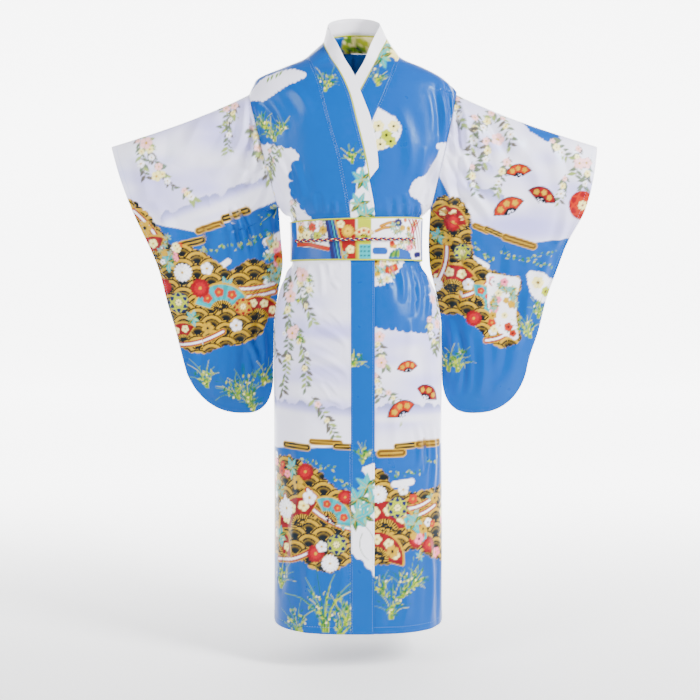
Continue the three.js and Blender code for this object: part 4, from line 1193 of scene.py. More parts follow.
def both_backs(p):
    """Both halves of the back share one layout, counted from the middle."""
    mist(p, -880, -420, -240, 240, 30)
    p.patch([(-340, 60), (-110, 40), (-60, -90), (-120, -180), (-90, -300), (-20, -370), (90, -330),
             (150, -240), (250, -200), (250, 60)], BLUE, CLOUD)
    p.patch([(40, -520), (170, -470), (240, -560), (250, -700), (120, -740), (30, -660)], BLUE, CLOUD)
    far_trees(p, ((-240, -850), (240, -880)), 13)
    sprays(p, [((-180, -250), (-150, -420)), ((-70, -380), (-110, -560)), ((-190, -520), (-170, -700)),
        ((60, -370), (30, -500)), ((-60, -640), (-90, -800)), ((180, -760), (150, -860)),
        ((-220, -90), (-200, -220)), ((10, -700), (30, -820))], 1.1, 4)
    pale_blossoms(p, [(-160, -320), (-90, -470), (-180, -600), (40, -430), (-70, -720)], 16, 10)
    p.patch([(-340, -930), (-80, -905), (100, -925), (340, -900), (340, -1360), (-340, -1360)], BLUE)
    gold_bar(p, (-200, -916), (-120, -908), 18, True)
    gold_bar(p, (-60, -906), (30, -914), 18)
    gold_bar(p, (120, -920), (200, -908), 18, True)
    p.specks((-200, -960), (-90, -975), 26, 9)
    p.specks((-20, -950), (90, -985), 26, 9)
    p.specks((110, -960), (210, -950), 26, 9)
    p.bar((-150, -1000), (-105, -996), 15)
    p.bar((120, -1006), (170, -1002), 15)
    points = [(-340, -1010), (-180, -1015), (-90, -1030), (0, -1000), (90, -1020), (180, -1030),
              (340, -1010), (340, -1180), (160, -1215), (60, -1180), (-50, -1210), (-150, -1190),
              (-340, -1200)]
    field(p, points, 12, (
        ("ribbon", -100, -1160, 70, 100), ("ribbon", 150, -1060, 60, 70),
        ("fan", -170, -1120, 80, -20), ("sea fan", -60, -1110, 64, 24), ("fan", 110, -1150, 78, 16),
        ("sea fan", 205, -1130, 66, -30), ("daisy", 20, -1090, 26, 0), ("blue ball", 45, -1150, 26, 0),
        ("white daisy", -5, -1160, 22, 0), ("gold flower", -110, -1060, 18, 0),
        ("blossom", 60, -1050, 17, 0), ("leaves", -230, -1150, 30, 0), ("ball", 165, -1095, 20, 0),
    ))
    grasses(p, [(-180, -1330, 120, -6), (-90, -1325, 90, 16), (40, -1330, 130, 4),
        (160, -1325, 110, -14), (215, -1330, 80, 12), (-30, -1270, 70, -10)])
    grasses(p, [(-30, -150, 66, -10), (120, -90, 70, 14)])


SASH_REPEAT = 360  # length of one repeat of the sash's layout


def sash_pleats(p):
    """Folded cloth: upright pleats of flowers, ribbons and leaves, repeated behind."""
    for turn in range(-2, 2):
        sash_repeat(p, SASH_REPEAT * turn, SASH_BOTTOM_Z, SASH_TOP_Z)


def sash_repeat(p, s, low, high):
    middle = (low + high) / 2

    def strip(left, right, bottom, top, colour):
        p.patch([(s + left, bottom), (s + right, bottom), (s + right, top), (s + left, top)], colour)

    sprays(p, [((s + x, high), (s + x + lean, middle - 4)) for x, lean in
               ((-148, 14), (-132, -8), (-116, 12), (-98, -10), (-84, 8))], 0.6, 2)
    pleat = ((-138, 24, GOLD), (-120, 10, CREAM), (-104, 28, ORANGE), (-92, 8, LIME), (-78, 22, GOLD),
        (-142, 6, CREAM))
    for k, (x, z, shade) in enumerate(pleat):
        p.flower(s + x, middle + z, 11, 6, shade, OCHRE, 0.4, 20 * k)
    p.patch([(s - 170, low), (s - 56, low), (s - 56, low + 24), (s - 170, low + 34)], BLUE)
    p.ribbon([(s - 152, middle - 10), (s - 110, middle - 12), (s - 66, middle - 22)], 9, RED, ORANGE)
    strip(-182, -152, low, high, BLUE)
    p.patch([(s - 74, high), (s - 48, high), (s - 30, low), (s - 58, low)], NAVY)
    for x, shade in ((-64, BLUE), (-57, TURQUOISE), (-51, BLUE)):
        p.stroke([(s + x, high), (s + x + 17, low)], 2.4, shade)
    p.patch([(s - 50, high), (s - 2, high), (s + 4, low), (s - 32, low), (s - 38, middle)], RED)
    p.stroke([(s - 50, high), (s - 38, middle), (s - 31, low)], 4, GOLD)
    p.daisy(s - 20, middle + 18, 15, GOLD, BLACK)
    p.flower(s - 36, middle + 34, 9, 5, CREAM, GOLD, 0.3, 10)
    p.flower(s - 14, middle - 24, 10, 5, CREAM, GOLD, 0.3, 30)
    p.leaves(s - 26, middle - 36, 11, 15)
    strip(0, 34, low, high, LIME)
    p.fan(s + 17, middle + 2, 26, 0, CREAM, GOLD, ORANGE)
    strip(6, 34, low, middle - 12, TURQUOISE)
    for k in range(9):
        p.disc(s + 10 + 9 * (k % 3), low + 9 + 10 * (k // 3), 2.1, BLACK)
    p.bar((s + 44, low + 20), (s + 64, low + 20), 17, BLUE)
    for x, z in ((44, 18), (56, 30)):
        start = np.array([s + x, middle + z])
        p.ribbon([start, start + (16, 7), start + (34, 10)], 6, RED, GOLD)
    p.flower(s + 98, high - 9, 11, 8, NAVY, LIME, 0.3)
    for k, (x, z) in enumerate(((92, 18), (104, 22), (84, 30))):
        p.leaves(s + x, middle + z, 12, 25 * k)
    bank(p, [(s + 108, middle + 4), (s + 150, high)], 16, 10)
    bank(p, [(s + 76, middle - 20), (s + 150, middle - 6)], 20, 10)
    p.patch([(s + 78, low), (s + 132, low), (s + 126, low + 16), (s + 104, low + 24),
        (s + 84, low + 17)], BLUE, 5)
    for k in range(4):
        p.leaf(s + 76 + 7 * k, low + 4, 22, 34 - 9 * k, (LEAF, YELLOW_GREEN)[k % 2], 0.3)
    p.bar((s + 150, low + 12), (s + 166, low + 14), 13, NAVY)
    for k in range(3):
        p.arc((s + 126 + 12 * k, high), (s + 150 + 12 * k, middle - 22), 0.08, 4.5, RED, 0.6)
    for k in range(2):
        p.arc((s + 164 - 14 * k, high), (s + 138 - 6 * k, middle - 8), -0.08, 4, RED, 0.6)


# Each cloth's print: the seed of its random draws, its ground and its layouts
PRINTS = {
    "right_front": (11, MIST, right_chest, right_skirt),
    "left_front": (12, MIST, left_chest, left_skirt),
    "right_band": (13, BLUE, right_band),
    "left_band": (14, BLUE, left_band),
    "right_sleeve": (15, MIST, right_sleeve),
    "left_sleeve": (16, MIST, left_sleeve),
    "right_back": (17, MIST, both_backs),
    "left_back": (18, MIST, both_backs),
    "sash": (19, PALE, sash_pleats),
}


def printed(cloth, across, height):
    """The colour at each point of a cloth."""
    seed, ground, *layouts = PRINTS[cloth]
    p = Print(across, height, ground, seed)
    for draw in layouts:
        draw(p)
    return p.shades()


def even_rows(place, columns, rows):
    """Points of a cloth in rows, evenly spaced along each row, with the run along it."""
    fine = np.linspace(0, 1, 121)
    p = place(*np.meshgrid(fine, rows))
    steps = np.linalg.norm(np.diff(p, axis=1), axis=2)
    run = np.concatenate([np.zeros((len(rows), 1)), np.cumsum(steps, axis=1)], axis=1)
    share = np.linspace(0, 1, columns)
    across = np.stack([np.interp(share * one[-1], one, fine) for one in run])
    return place(across, np.repeat(rows[:, None], columns, axis=1)), share * run[:, -1:]


STRIDE = 4  # a cloth's inner face keeps every fourth point of its outer one


def grid_count(length, step):
    """Points along a length, a whole number of strides apart."""
    return STRIDE * max(2, round(length / step / STRIDE)) + 1


def outward(p, centre):
    """Unit normals of a grid of points, away from a centre, and whether they were turned."""
    n = np.cross(np.gradient(p, axis=1), np.gradient(p, axis=0))
    n /= np.maximum(np.linalg.norm(n, axis=2, keepdims=True), 1e-9)
    turned = (n * (p - centre)).sum() < 0
    return (-n if turned else n), turned


def new_mesh(name, points, faces, flat_from=None):
    mesh = bpy.data.meshes.new(name)
    mesh.from_pydata((np.asarray(points) / 1000).tolist(), [], faces)
    rounded = np.ones(len(faces), bool)
    rounded[flat_from:] = flat_from is None
    mesh.polygons.foreach_set("use_smooth", rounded)
    mesh.update()
    piece = bpy.data.objects.new(name, mesh)
    bpy.context.collection.objects.link(piece)
    return piece


def quads(numbers, turned):
    a, b, c, d = numbers[:-1, :-1], numbers[:-1, 1:], numbers[1:, 1:], numbers[1:, :-1]
    corners = [d, c, b, a] if turned else [a, b, c, d]
    return np.stack([k.ravel() for k in corners], axis=1).tolist()


def shell(name, p, centre, colour, wall=WALL, cloth=CLOTH):
    """A closed thin cloth: a fine grid on its outer face and a coarse one inside."""
    out, turned = outward(p, centre)
    outer = p + out * wall / 2
    inner = (outer - out * cloth)[::STRIDE, ::STRIDE]
    fine = np.arange(outer[..., 0].size).reshape(p.shape[:2])
    coarse = fine.size + np.arange(inner[..., 0].size).reshape(inner.shape[:2])
    faces = quads(fine, turned) + quads(coarse, not turned)
    flat_from = len(faces)
    sides = (
        (fine[0], coarse[0]),
        (fine[:, -1], coarse[:, -1]),
        (fine[-1, ::-1], coarse[-1, ::-1]),
        (fine[::-1, 0], coarse[::-1, 0]),
    )
    for along, under in sides:
        for k in range(len(under) - 1):
            edge = along[k * STRIDE : (k + 1) * STRIDE + 1].tolist()
            face = edge[::-1] + [int(under[k]), int(under[k + 1])]
            faces.append(face[::-1] if turned else face)
    points = np.concatenate([outer.reshape(-1, 3), inner.reshape(-1, 3)])
    piece = new_mesh(name, points, faces, flat_from)
    if colour is not None:
        shades = np.concatenate([colour.reshape(-1, 3), colour[::STRIDE, ::STRIDE].reshape(-1, 3)])
        layer = piece.data.color_attributes.new(name="print", type="FLOAT_COLOR", domain="POINT")
        layer.data.foreach_set("color", np.column_stack([shades, np.ones(len(shades))]).ravel())
    return piece


def tube_points(path, radius, sides):
    """Rings of points round a path, with their faces and flat ends."""
    along = directions(path)
    up = np.array([0.13, 0.07, 1.0])  # leans a little, so that no path runs along it
    out = np.cross(along, up)
    out /= np.linalg.norm(out, axis=1, keepdims=True)
    other = np.cross(out, along)
    turn = 2 * math.pi * np.arange(sides) / sides
    ring = out[:, None] * np.cos(turn)[:, None] + other[:, None] * np.sin(turn)[:, None]
    points = (path[:, None] + ring * radius).reshape(-1, 3)
    faces = []
    for j in range(len(path) - 1):
        for k in range(sides):
            a, b = j * sides + k, j * sides + (k + 1) % sides
            faces.append([a, b, b + sides, a + sides])
    last = (len(path) - 1) * sides
    faces.append(list(range(sides))[::-1])
    faces.append([last + k for k in range(sides)])
    return points, faces


def joined(name, parts):
    """One mesh from several lists of points and faces."""
    points, faces, first = [], [], 0
    for some, own in parts:
        points.append(some)
        faces += [[first + k for k in face] for face in own]
        first += len(some)
    return new_mesh(name, np.concatenate(points), faces)


# Creases: start and end on the cloth, half width, and height, negative for a trough.
# They run straight apart from a slight bow, and die out at both ends.
CREASES = {
    "right_front": (
        ((-48, -485), (-34, -510), 5, -1.6), ((-52, -535), (-33, -555), 5, 1.5),
        ((-64, -612), (-31, -646), 5, -2.0), ((-90, -633), (-13, -680), 6, 2.2),
        ((-97, -654), (-22, -703), 9, -1.8), ((-101, -697), (-8, -750), 7, 2.4),
        ((-111, -728), (-35, -775), 8, -1.8), ((-73, -763), (-42, -803), 5, -2.0),
        ((-61, -801), (-24, -818), 5, 1.5), ((-131, -573), (-73, -622), 8, 1.6),
        ((-138, -791), (-54, -862), 10, 1.6), ((-84, -485), (-73, -572), 7, 1.8),
        ((-124, -486), (-131, -555), 7, -1.8), ((-62, -485), (-55, -530), 5, 1.4),
        ((-207, -490), (-171, -575), 8, 2.2), ((-138, -894), (-148, -1168), 13, 2.0),
        ((-82, -958), (-86, -1251), 14, -1.8), ((-44, -1024), (-40, -1312), 12, 1.5),
        ((-180, -991), (-187, -1268), 12, -2.2), ((-112, -1163), (-109, -1334), 10, 1.6),
        ((-238, -124), (-207, -229), 8, 2.0), ((-221, -116), (-169, -201), 9, -1.6),
        ((-207, -229), (-146, -313), 8, 2.2), ((-221, -259), (-173, -355), 8, -2.0),
        ((-150, -248), (-117, -353), 10, 1.6), ((-193, -332), (-226, -399), 6, 2.0),
        ((-127, -341), (-131, -397), 6, 1.6), ((-83, -332), (-79, -397), 7, -1.5),
        ((-45, -350), (-43, -397), 6, 1.3), ((-150, -84), (-96, -156), 12, 1.3),
    ),
    "left_front": (
        ((202, -72), (213, -224), 7, 2.6), ((222, -66), (234, -216), 5, -2.2),
        ((266, -63), (241, -197), 6, 2.4), ((182, -83), (197, -201), 7, -1.4),
        ((211, -229), (176, -308), 7, 2.2), ((202, -271), (165, -355), 7, -2.0),
        ((187, -299), (176, -393), 6, 2.0), ((165, -225), (139, -341), 10, 1.5),
        ((118, -332), (129, -397), 7, 1.8), ((85, -341), (88, -397), 7, -1.5),
        ((146, -350), (152, -397), 5, -1.6), ((103, -132), (132, -295), 14, 1.5),
        ((76, -490), (80, -553), 6, 1.6), ((106, -490), (114, -586), 8, 2.0),
        ((138, -489), (145, -619), 7, -2.0), ((185, -488), (182, -626), 8, 2.2),
        ((236, -490), (209, -646), 8, -2.2), ((134, -619), (117, -736), 10, 1.4),
        ((172, -676), (188, -852), 12, 1.6), ((145, -857), (152, -962), 6, 2.2),
        ((164, -868), (169, -978), 5, -2.2), ((188, -852), (190, -1035), 7, 2.0),
        ((84, -799), (88, -935), 10, 1.3), ((114, -1162), (111, -1329), 11, 1.6),
        ((171, -1101), (179, -1338), 10, 2.0), ((79, -1183), (76, -1322), 9, -1.4),
        ((200, -1128), (210, -1337), 9, -2.0),
    ),
    "right_back": (
        ((-40, -240), (-120, -370), 12, 2.4), ((-70, -190), (-150, -300), 14, -2.2),
        ((-20, -300), (-36, -388), 8, 2.0), ((-90, -320), (-96, -388), 8, -1.8),
        ((-130, -330), (-140, -388), 8, 2.0), ((-60, -335), (-62, -388), 7, 1.6),
        ((-24, -490), (-30, -600), 9, 2.2), ((-64, -490), (-84, -640), 10, -2.0),
        ((-110, -490), (-140, -620), 9, 2.4), ((-160, -500), (-200, -640), 11, -2.0),
        ((-80, -700), (-90, -1000), 16, 2.2), ((-150, -760), (-160, -1100), 15, -2.2),
        ((-30, -900), (-34, -1250), 15, 2.0), ((-200, -900), (-206, -1300), 14, 2.0),
        ((-120, -60), (-170, -150), 14, 1.8), ((-60, -1080), (-62, -1325), 12, -1.8),
    ),
    "left_back": (
        ((36, -220), (110, -360), 12, -2.2), ((80, -170), (160, -310), 14, 2.4),
        ((24, -310), (30, -388), 8, -1.8), ((66, -300), (74, -388), 8, 2.2),
        ((104, -330), (110, -388), 7, -1.8), ((144, -320), (150, -388), 8, 1.8),
        ((30, -490), (38, -640), 10, -2.0), ((76, -490), (92, -600), 9, 2.4),
        ((118, -490), (150, -660), 10, -2.0), ((170, -500), (206, -630), 11, 2.2),
        ((60, -760), (64, -1080), 16, -2.0), ((130, -700), (142, -1020), 15, 2.4),
        ((190, -860), (198, -1250), 15, -2.0), ((30, -1000), (28, -1325), 13, 1.8),
        ((110, -50), (180, -130), 14, -1.6), ((170, -1120), (172, -1325), 12, 2.0),
    ),
    "right_sleeve": (
        ((-252, -107), (-276, -241), 9, 3.0), ((-240, -126), (-257, -288), 7, -3.0),
        ((-231, -159), (-243, -317), 7, 3.0), ((-219, -202), (-281, -322), 9, 2.8),
        ((-209, -245), (-305, -360), 10, -2.8), ((-243, -178), (-334, -288), 11, 2.4),
        ((-200, -288), (-257, -374), 8, 2.6), ((-281, -102), (-353, -245), 14, -2.2),
        ((-353, -131), (-415, -264), 16, 2.2), ((-439, -183), (-463, -288), 14, -1.8),
        ((-288, -355), (-257, -465), 6, 2.8), ((-271, -360), (-243, -489), 6, -2.6),
        ((-305, -374), (-291, -504), 8, 2.0), ((-353, -398), (-367, -489), 10, -1.8),
        ((-405, -437), (-420, -580), 12, 2.0), ((-205, -355), (-219, -580), 8, 2.4),
        ((-233, -580), (-248, -714), 8, -2.4), ((-250, -676), (-226, -767), 6, 2.6),
        ((-219, -652), (-233, -795), 7, 2.2), ((-271, -652), (-281, -810), 10, -2.0),
        ((-324, -676), (-338, -815), 12, 2.2), ((-372, -580), (-377, -772), 12, -2.0),
        ((-472, -341), (-425, -485), 12, 1.8), ((-511, -241), (-487, -353), 12, 1.8),
    ),
    "left_sleeve": (
        ((245, -102), (264, -236), 8, 3.0), ((233, -121), (245, -284), 7, -3.0),
        ((260, -131), (307, -269), 9, 2.6), ((221, -197), (283, -341), 8, 3.0),
        ((212, -241), (260, -374), 7, -2.8), ((207, -274), (231, -413), 7, 2.8),
        ((279, -121), (365, -260), 12, -2.4), ((327, -131), (398, -245), 14, 2.0),
        ((226, -288), (327, -394), 9, 2.2), ((398, -221), (446, -374), 16, 1.8),
        ((484, -212), (508, -341), 14, -1.8), ((236, -403), (221, -580), 8, 2.6),
        ((255, -427), (245, -618), 7, -2.4), ((288, -451), (298, -618), 12, 2.0),
        ((350, -446), (331, -580), 14, -1.8), ((465, -451), (427, -580), 11, 2.2),
        ((504, -355), (475, -465), 10, 2.0), ((231, -623), (231, -781), 8, 2.4),
        ((255, -652), (260, -810), 8, -2.2), ((303, -652), (303, -815), 12, 2.0),
        ((370, -628), (346, -781), 12, -2.0), ((417, -532), (389, -700), 10, 1.8),
    ),
}

BOLD = 2.2  # the creases stand this many times the heights in the table
BOLDER = 2.6  # and those of the sleeves
# A crease's bow as a share of its length, the powers that shape its crest and its ends, and
# the height of its flanks and their distance in half widths
CREASE = {"bow": 0.06, "crest": 1.6, "ends": 0.7, "flank": 0.45, "flankAt": 1.9}

# The upper front lies on the lower one past this far across, so its troughs are shallow there
OVERLAP = (-140, -110)
SHALLOW = -0.7
DEEPEST = -8


def creased(name, p, centre, across, height):
    """The cloth set out by its creases, which its callers fade out under the sash and at its edges."""
    out, _ = outward(p, centre)
    depth = np.zeros(height.shape)
    here = np.stack(np.broadcast_arrays(across, height), axis=-1)
    for start, end, wide, rise in CREASES[name]:
        a, b = np.array(start, float), np.array(end, float)
        long = np.linalg.norm(b - a)
        t = ((here - a) @ (b - a)) / long**2
        side = np.array([-(b - a)[1], (b - a)[0]]) / long
        off = (here - a) @ side - CREASE["bow"] * long * 4 * t * (1 - t)
        crest = np.exp(-((np.abs(off) / wide) ** CREASE["crest"]))
        along = np.clip(np.sin(math.pi * np.clip(t, 0, 1)), 0, 1) ** CREASE["ends"]
        flank = CREASE["flank"] * np.exp(-((np.abs(off) / wide - CREASE["flankAt"]) ** 2))
        depth += (BOLDER if "sleeve" in name else BOLD) * rise * along * (crest - flank)
    if name == "right_front":
        depth = np.maximum(depth, lerp(DEEPEST, SHALLOW, smooth(*OVERLAP, p[..., 0])))
    return p + out * depth[..., None]


def beside_sash(z):
    """1 on free cloth and 0 under the sash."""
    above_bottom = smooth(SASH_BOTTOM_Z - 16, SASH_BOTTOM_Z - 2, z)
    below_top = smooth(SASH_TOP_Z + 18, SASH_TOP_Z + 4, z)
    return 1 - above_bottom * below_top


STEP = 2.5  # spacing of the points on the cloth that faces front
BACK_STEP = 3.5
SLEEVE_STEP = 2.6
FRONT_TOP_Z = -2
BACK_TOP_Z = 27.3
PANEL_WIDTH = 300
SLEEVE_WIDTH = 345
SLEEVE_ROWS = 280  # rows from the fold along the top to the foot
AXIS = np.array([0.0, 20.0, 0.0])  # level with each point, this lies inside the body
HEM_FOLD = 14  # height of the turned-up hem
HEM_RISE = 0.5  # how far its doubled cloth stands out
SEAM_REACH = 11  # creases die out this close to a seam
PUCKER = {"reach": 13, "rise": 0.55, "wave": 8.5}  # fine puckers beside the seams


def inside_of(p):
    """A point inside the body beside every point of a piece."""
    return xyz(AXIS[0], AXIS[1], p[..., 2])


def heights(low, high, step):
    return np.linspace(low, high, grid_count(high - low, step))


def puckered(p, centre, off_edge, seed):
    """Fine puckers beside a seam. off_edge is the distance of each point from it."""
    out, _ = outward(p, centre)
    chance = np.random.default_rng(seed)
    run = distances(p[:, 0])
    swing = chance.normal(0, 1, run.size)
    kernel = np.exp(-((np.arange(-6, 7) / 2.2) ** 2))
    uneven = np.convolve(swing, kernel / np.linalg.norm(kernel), "same")
    ripple = np.sin(2 * math.pi * run / PUCKER["wave"] + 1.4 * uneven) * (0.6 + 0.4 * uneven)
    fade = np.exp(-off_edge / PUCKER["reach"]) * beside_sash(p[..., 2])
    return p + out * (PUCKER["rise"] * ripple[:, None] * fade)[..., None]


def beside_seams(run):
    """0 at both edges of a cloth and 1 on the cloth between them."""
    return smooth(0, SEAM_REACH, run) * smooth(0, SEAM_REACH, run[:, -1:] - run)


def hemmed(p, centre):
    """The doubled cloth of the hem stands out a little."""
    out, _ = outward(p, centre)
    rise = HEM_RISE * smooth(HEM_Z + HEM_FOLD + 2, HEM_Z + HEM_FOLD - 2, p[..., 2])
    return p + out * rise[..., None]


SEAM_STITCH = 3.2  # distance of a row of stitches from its seam
EDGE_STITCH = 4.5  # and from the band's piped edge
THREAD_LIFT = 0.1  # how far the threads' middle lies over the cloth
STITCH = {"long": 3.2, "gap": 2.8, "thick": 0.3, "sides": 4, "points": 4}
sewing = {}  # every row of stitches, by name


def thread(path):
    """Short threads along a path of points that lie on the cloth."""
    run = distances(path)
    parts = []
    for start in np.arange(STITCH["gap"], run[-1] - STITCH["long"], STITCH["long"] + STITCH["gap"]):
        at = start + STITCH["long"] * np.linspace(0, 1, STITCH["points"])
        points = np.stack([np.interp(at, run, path[:, k]) for k in range(3)], axis=1)
        parts.append(tube_points(points, STITCH["thick"], STITCH["sides"]))
    return parts


def sew(name, p, centre, across_at, rows_at):
    """Rows of stitches on a cloth: at distances across it, and at heights over the hem."""
    out, _ = outward(p, centre)
    outer = p + out * (WALL / 2 + THREAD_LIFT)
    parts = []
    for off_edge, distance in across_at:
        column = np.abs(off_edge - distance).argmin(axis=1)
        share = np.arange(len(outer))
        near = outer[share, column]
        smoothed = near.copy()
        smoothed[2:-2] = (near[:-4] + near[1:-3] + near[2:-2] + near[3:-1] + near[4:]) / 5
        parts += thread(smoothed)
    for distance in rows_at:
        row = np.abs(p[:, 0, 2] - HEM_Z - distance).argmin()
        parts += thread(outer[row])
    sewing[name] = joined(name, parts)


LEFT_SHOWS = (42, 60)  # past this far across, the lower front is no longer under the upper one


def make_front(side):
    rows = heights(HEM_Z, FRONT_TOP_Z, STEP)
    p, run = even_rows(front_place(side), grid_count(PANEL_WIDTH, STEP), rows)
    centre = inside_of(p)
    across = p[:, :1, 0] + SIGN[side] * run
    shades = printed(side + "_front", across, p[..., 2])
    folded = creased(side + "_front", p, centre, across, p[..., 2])
    if side == "left":
        folded = lerp(p, folded, smooth(*LEFT_SHOWS, p[..., 0])[..., None])
    folded = lerp(p, folded, (beside_sash(p[..., 2]) * beside_seams(run))[..., None])
    folded = puckered(hemmed(folded, centre), centre, run, seed=1)
    folded = puckered(folded, centre, run[:, -1:] - run, seed=2)
    sew(f"{side}_front_stitches", folded, centre, [(run, SEAM_STITCH)], [HEM_FOLD])
    return shell(f"{side}_front_cloth", folded, centre, shades)


def make_back(side):
    rows = heights(HEM_Z, BACK_TOP_Z, BACK_STEP)
    p, run = even_rows(back_place(side), grid_count(PANEL_WIDTH, BACK_STEP), rows)
    centre = inside_of(p)
    across = SIGN[side] * (run[:, -1:] - run)
    shades = printed(side + "_back", across, p[..., 2])
    folded = creased(side + "_back", p, centre, across, p[..., 2])
    folded = lerp(p, folded, (beside_sash(p[..., 2]) * beside_seams(run))[..., None])
    folded = puckered(hemmed(folded, centre), centre, run[:, -1:] - run, seed=3)
    folded = puckered(folded, centre, run, seed=4)
    sew(f"{side}_back_stitches", folded, centre, [], [HEM_FOLD])
    return shell(f"{side}_back_cloth", folded, centre, shades)


def sleeve_print(side, p):
    """One cloth over the arm: the front, and behind it the other sleeve's layout."""
    x, z = p[..., 0], p[..., 2]
    split = p.shape[0] // 2 + 1
    before = printed(side + "_sleeve", x[:split], z[:split])
    behind = printed(OTHER[side] + "_sleeve", -x[split:], z[split:])
    return np.concatenate([before, behind])


def make_sleeve(side):
    behind = heights(0, 1, 1 / SLEEVE_ROWS)
    fall = signed_power(np.concatenate([-behind[:0:-1], behind]), 1 / SLEEVE["crowding"])
    p, run = even_rows(sleeve_place(side), grid_count(SLEEVE_WIDTH, SLEEVE_STEP), fall)
    middle = xyz(p[..., 0].mean(), p[..., 1].mean(), p[..., 2].mean())
    split = p.shape[0] // 2 + 1
    x, z = p[..., 0], p[..., 2]
    before = creased(side + "_sleeve", p, middle, x, z)[:split]
    behind = creased(OTHER[side] + "_sleeve", p, middle, -x, z)[split:]
    fade = smooth(0, 0.1, np.abs(fall))[:, None] * beside_seams(run)
    folded = lerp(p, np.concatenate([before, behind]), fade[..., None])
    folded = puckered(folded, middle, run, seed=5)
    rows = [(run, SEAM_STITCH), (run[:, -1:] - run, HEM_FOLD)]
    sew(f"{side}_sleeve_stitches", folded, middle, rows, [])
    return shell(f"{side}_sleeve_cloth", folded, middle, sleeve_print(side, p))


NECK_ROUND = 170  # length of the band from the nape to the side of the neck
BAND_WIDTH = 60
NAPE_LAP = 0.4  # the band's halves run this far past the middle of the nape
NAPE_LAP_END = 1 / 8  # of the way to the side of the neck


def band_ts(end_z, step):
    """Path values from the nape down one front."""
    neck = np.linspace(0, 1, grid_count(NECK_ROUND, step))
    return np.concatenate([neck, 1 + heights(0, -end_z, step)[1:] / 1000])


def make_band(side):
    ts = band_ts(HEM_Z, STEP)
    share = np.linspace(0, 1, grid_count(BAND_WIDTH, STEP))
    u, t = np.meshgrid(share, ts)
    seam, edge, _ = station(side, t)
    width = np.linalg.norm(edge - seam, axis=-1)
    at = lerp(CLOTH_GAP / width, 1 - (CLOTH_GAP + PIPING / 2) / width, u)
    p = band_point(side, t, at)
    p[..., 0] -= SIGN[side] * NAPE_LAP * (1 - smooth(0, NAPE_LAP_END, t))
    shades = printed(side + "_band", p[..., 0], p[..., 2])
    centre = inside_of(p)
    folded = hemmed(p, centre)
    rows = [(u * width, SEAM_STITCH), ((1 - u) * width, EDGE_STITCH)]
    sew(f"{side}_band_stitches", folded, centre, rows, [])
    return shell(f"{side}_band_cloth", folded, centre, shades)


def round_the_neck(step):
    right = band_ts(WHITE_END["right"], step)
    left = band_ts(WHITE_END["left"], step)
    return np.concatenate([-right[::-1], left[1:]])


def station_round(t):
    """Stations along both fronts, counted negative on the wearer's right."""
    sides = [station(side, np.abs(t)) for side in SIDES]
    on_right = (t < 0)[..., None]
    return [np.where(on_right, r, l) for r, l in zip(*sides)]


COLLAR_COLUMNS = 17
PIPING_SIDES = 10
COLLAR_PIPING = 0.62 * PIPING  # half the thickness of the collar's piping cord
SASH_PIPING = 0.72 * PIPING
SASH_PIPING_STEPS = 361


def make_white_collar():
    u, t = np.meshgrid(np.linspace(0, 1, COLLAR_COLUMNS), round_the_neck(STEP))
    _, edge, rim = station_round(t)
    start = (SEAM + PIPING / 2) / np.linalg.norm(rim - edge, axis=-1)
    p = lerp(edge, rim, lerp(start, 1, u)[..., None])
    return shell("white_collar_cloth", p, inside_of(p), None)


def make_collar_piping():
    _, edge, _ = station_round(round_the_neck(STEP * 1.5))
    points, faces = tube_points(edge, COLLAR_PIPING, PIPING_SIDES)
    return new_mesh("collar_piping_cord", points, faces)


def sash_turns(count):
    return lerp(-SASH_LAP, 1 + SASH_LAP, np.linspace(0, 1, count))


SASH_HEIGHT = 92
SASH_ROUND = 900
SASH_STEP = 2.2
SASH_SWELL = 0.5  # the stiffened sash is a little uneven


def make_sash():
    edge = (PIPING / 2 + SEAM) / (SASH_TOP_Z - SASH_BOTTOM_Z)
    rows = lerp(edge, 1 - edge, np.linspace(0, 1, grid_count(SASH_HEIGHT, SASH_STEP)))
    turns = sash_turns(grid_count(SASH_ROUND, SASH_STEP))
    turn, share = np.meshgrid(turns, rows)
    p = sash_point(turn, share, 0)
    run = distances(p[0])
    across = np.broadcast_to(np.interp(0.5, turns, run) - run, p.shape[:2])
    centre = inside_of(p)
    shades = printed("sash", across, p[..., 2])
    out, _ = outward(p, centre)
    swell = SASH_SWELL * np.sin(across / 23 + 2 * share) * np.sin(across / 9.5 + share * 3)
    p = p + out * (swell * np.sin(math.pi * share))[..., None]
    return shell("sash_cloth", p, centre, shades, SASH_WALL, SASH_CLOTH)


def make_sash_piping(name, share):
    path = sash_point(sash_turns(SASH_PIPING_STEPS), share, 0)
    points, faces = tube_points(path, SASH_PIPING, PIPING_SIDES)
    return new_mesh(name, points, faces)


# The cord's yarns: name, colour, its turn in the plait and half its thickness
YARNS = (("red", RED, 0, 1.35), ("navy", NAVY, 1, 1.35), ("gold", CREAM, 2, 0.6))
PLAIT = 21  # length of one turn of the plait
PLAIT_RISE = 1.9  # how far a pair of yarns swings up and down
PLAIT_DEPTH = 1.0  # and in and out
PAIR = 0.6  # the two yarns of a pair lie this far off its middle, in half thicknesses
CORD_STEPS = 420
YARN_SIDES = 8


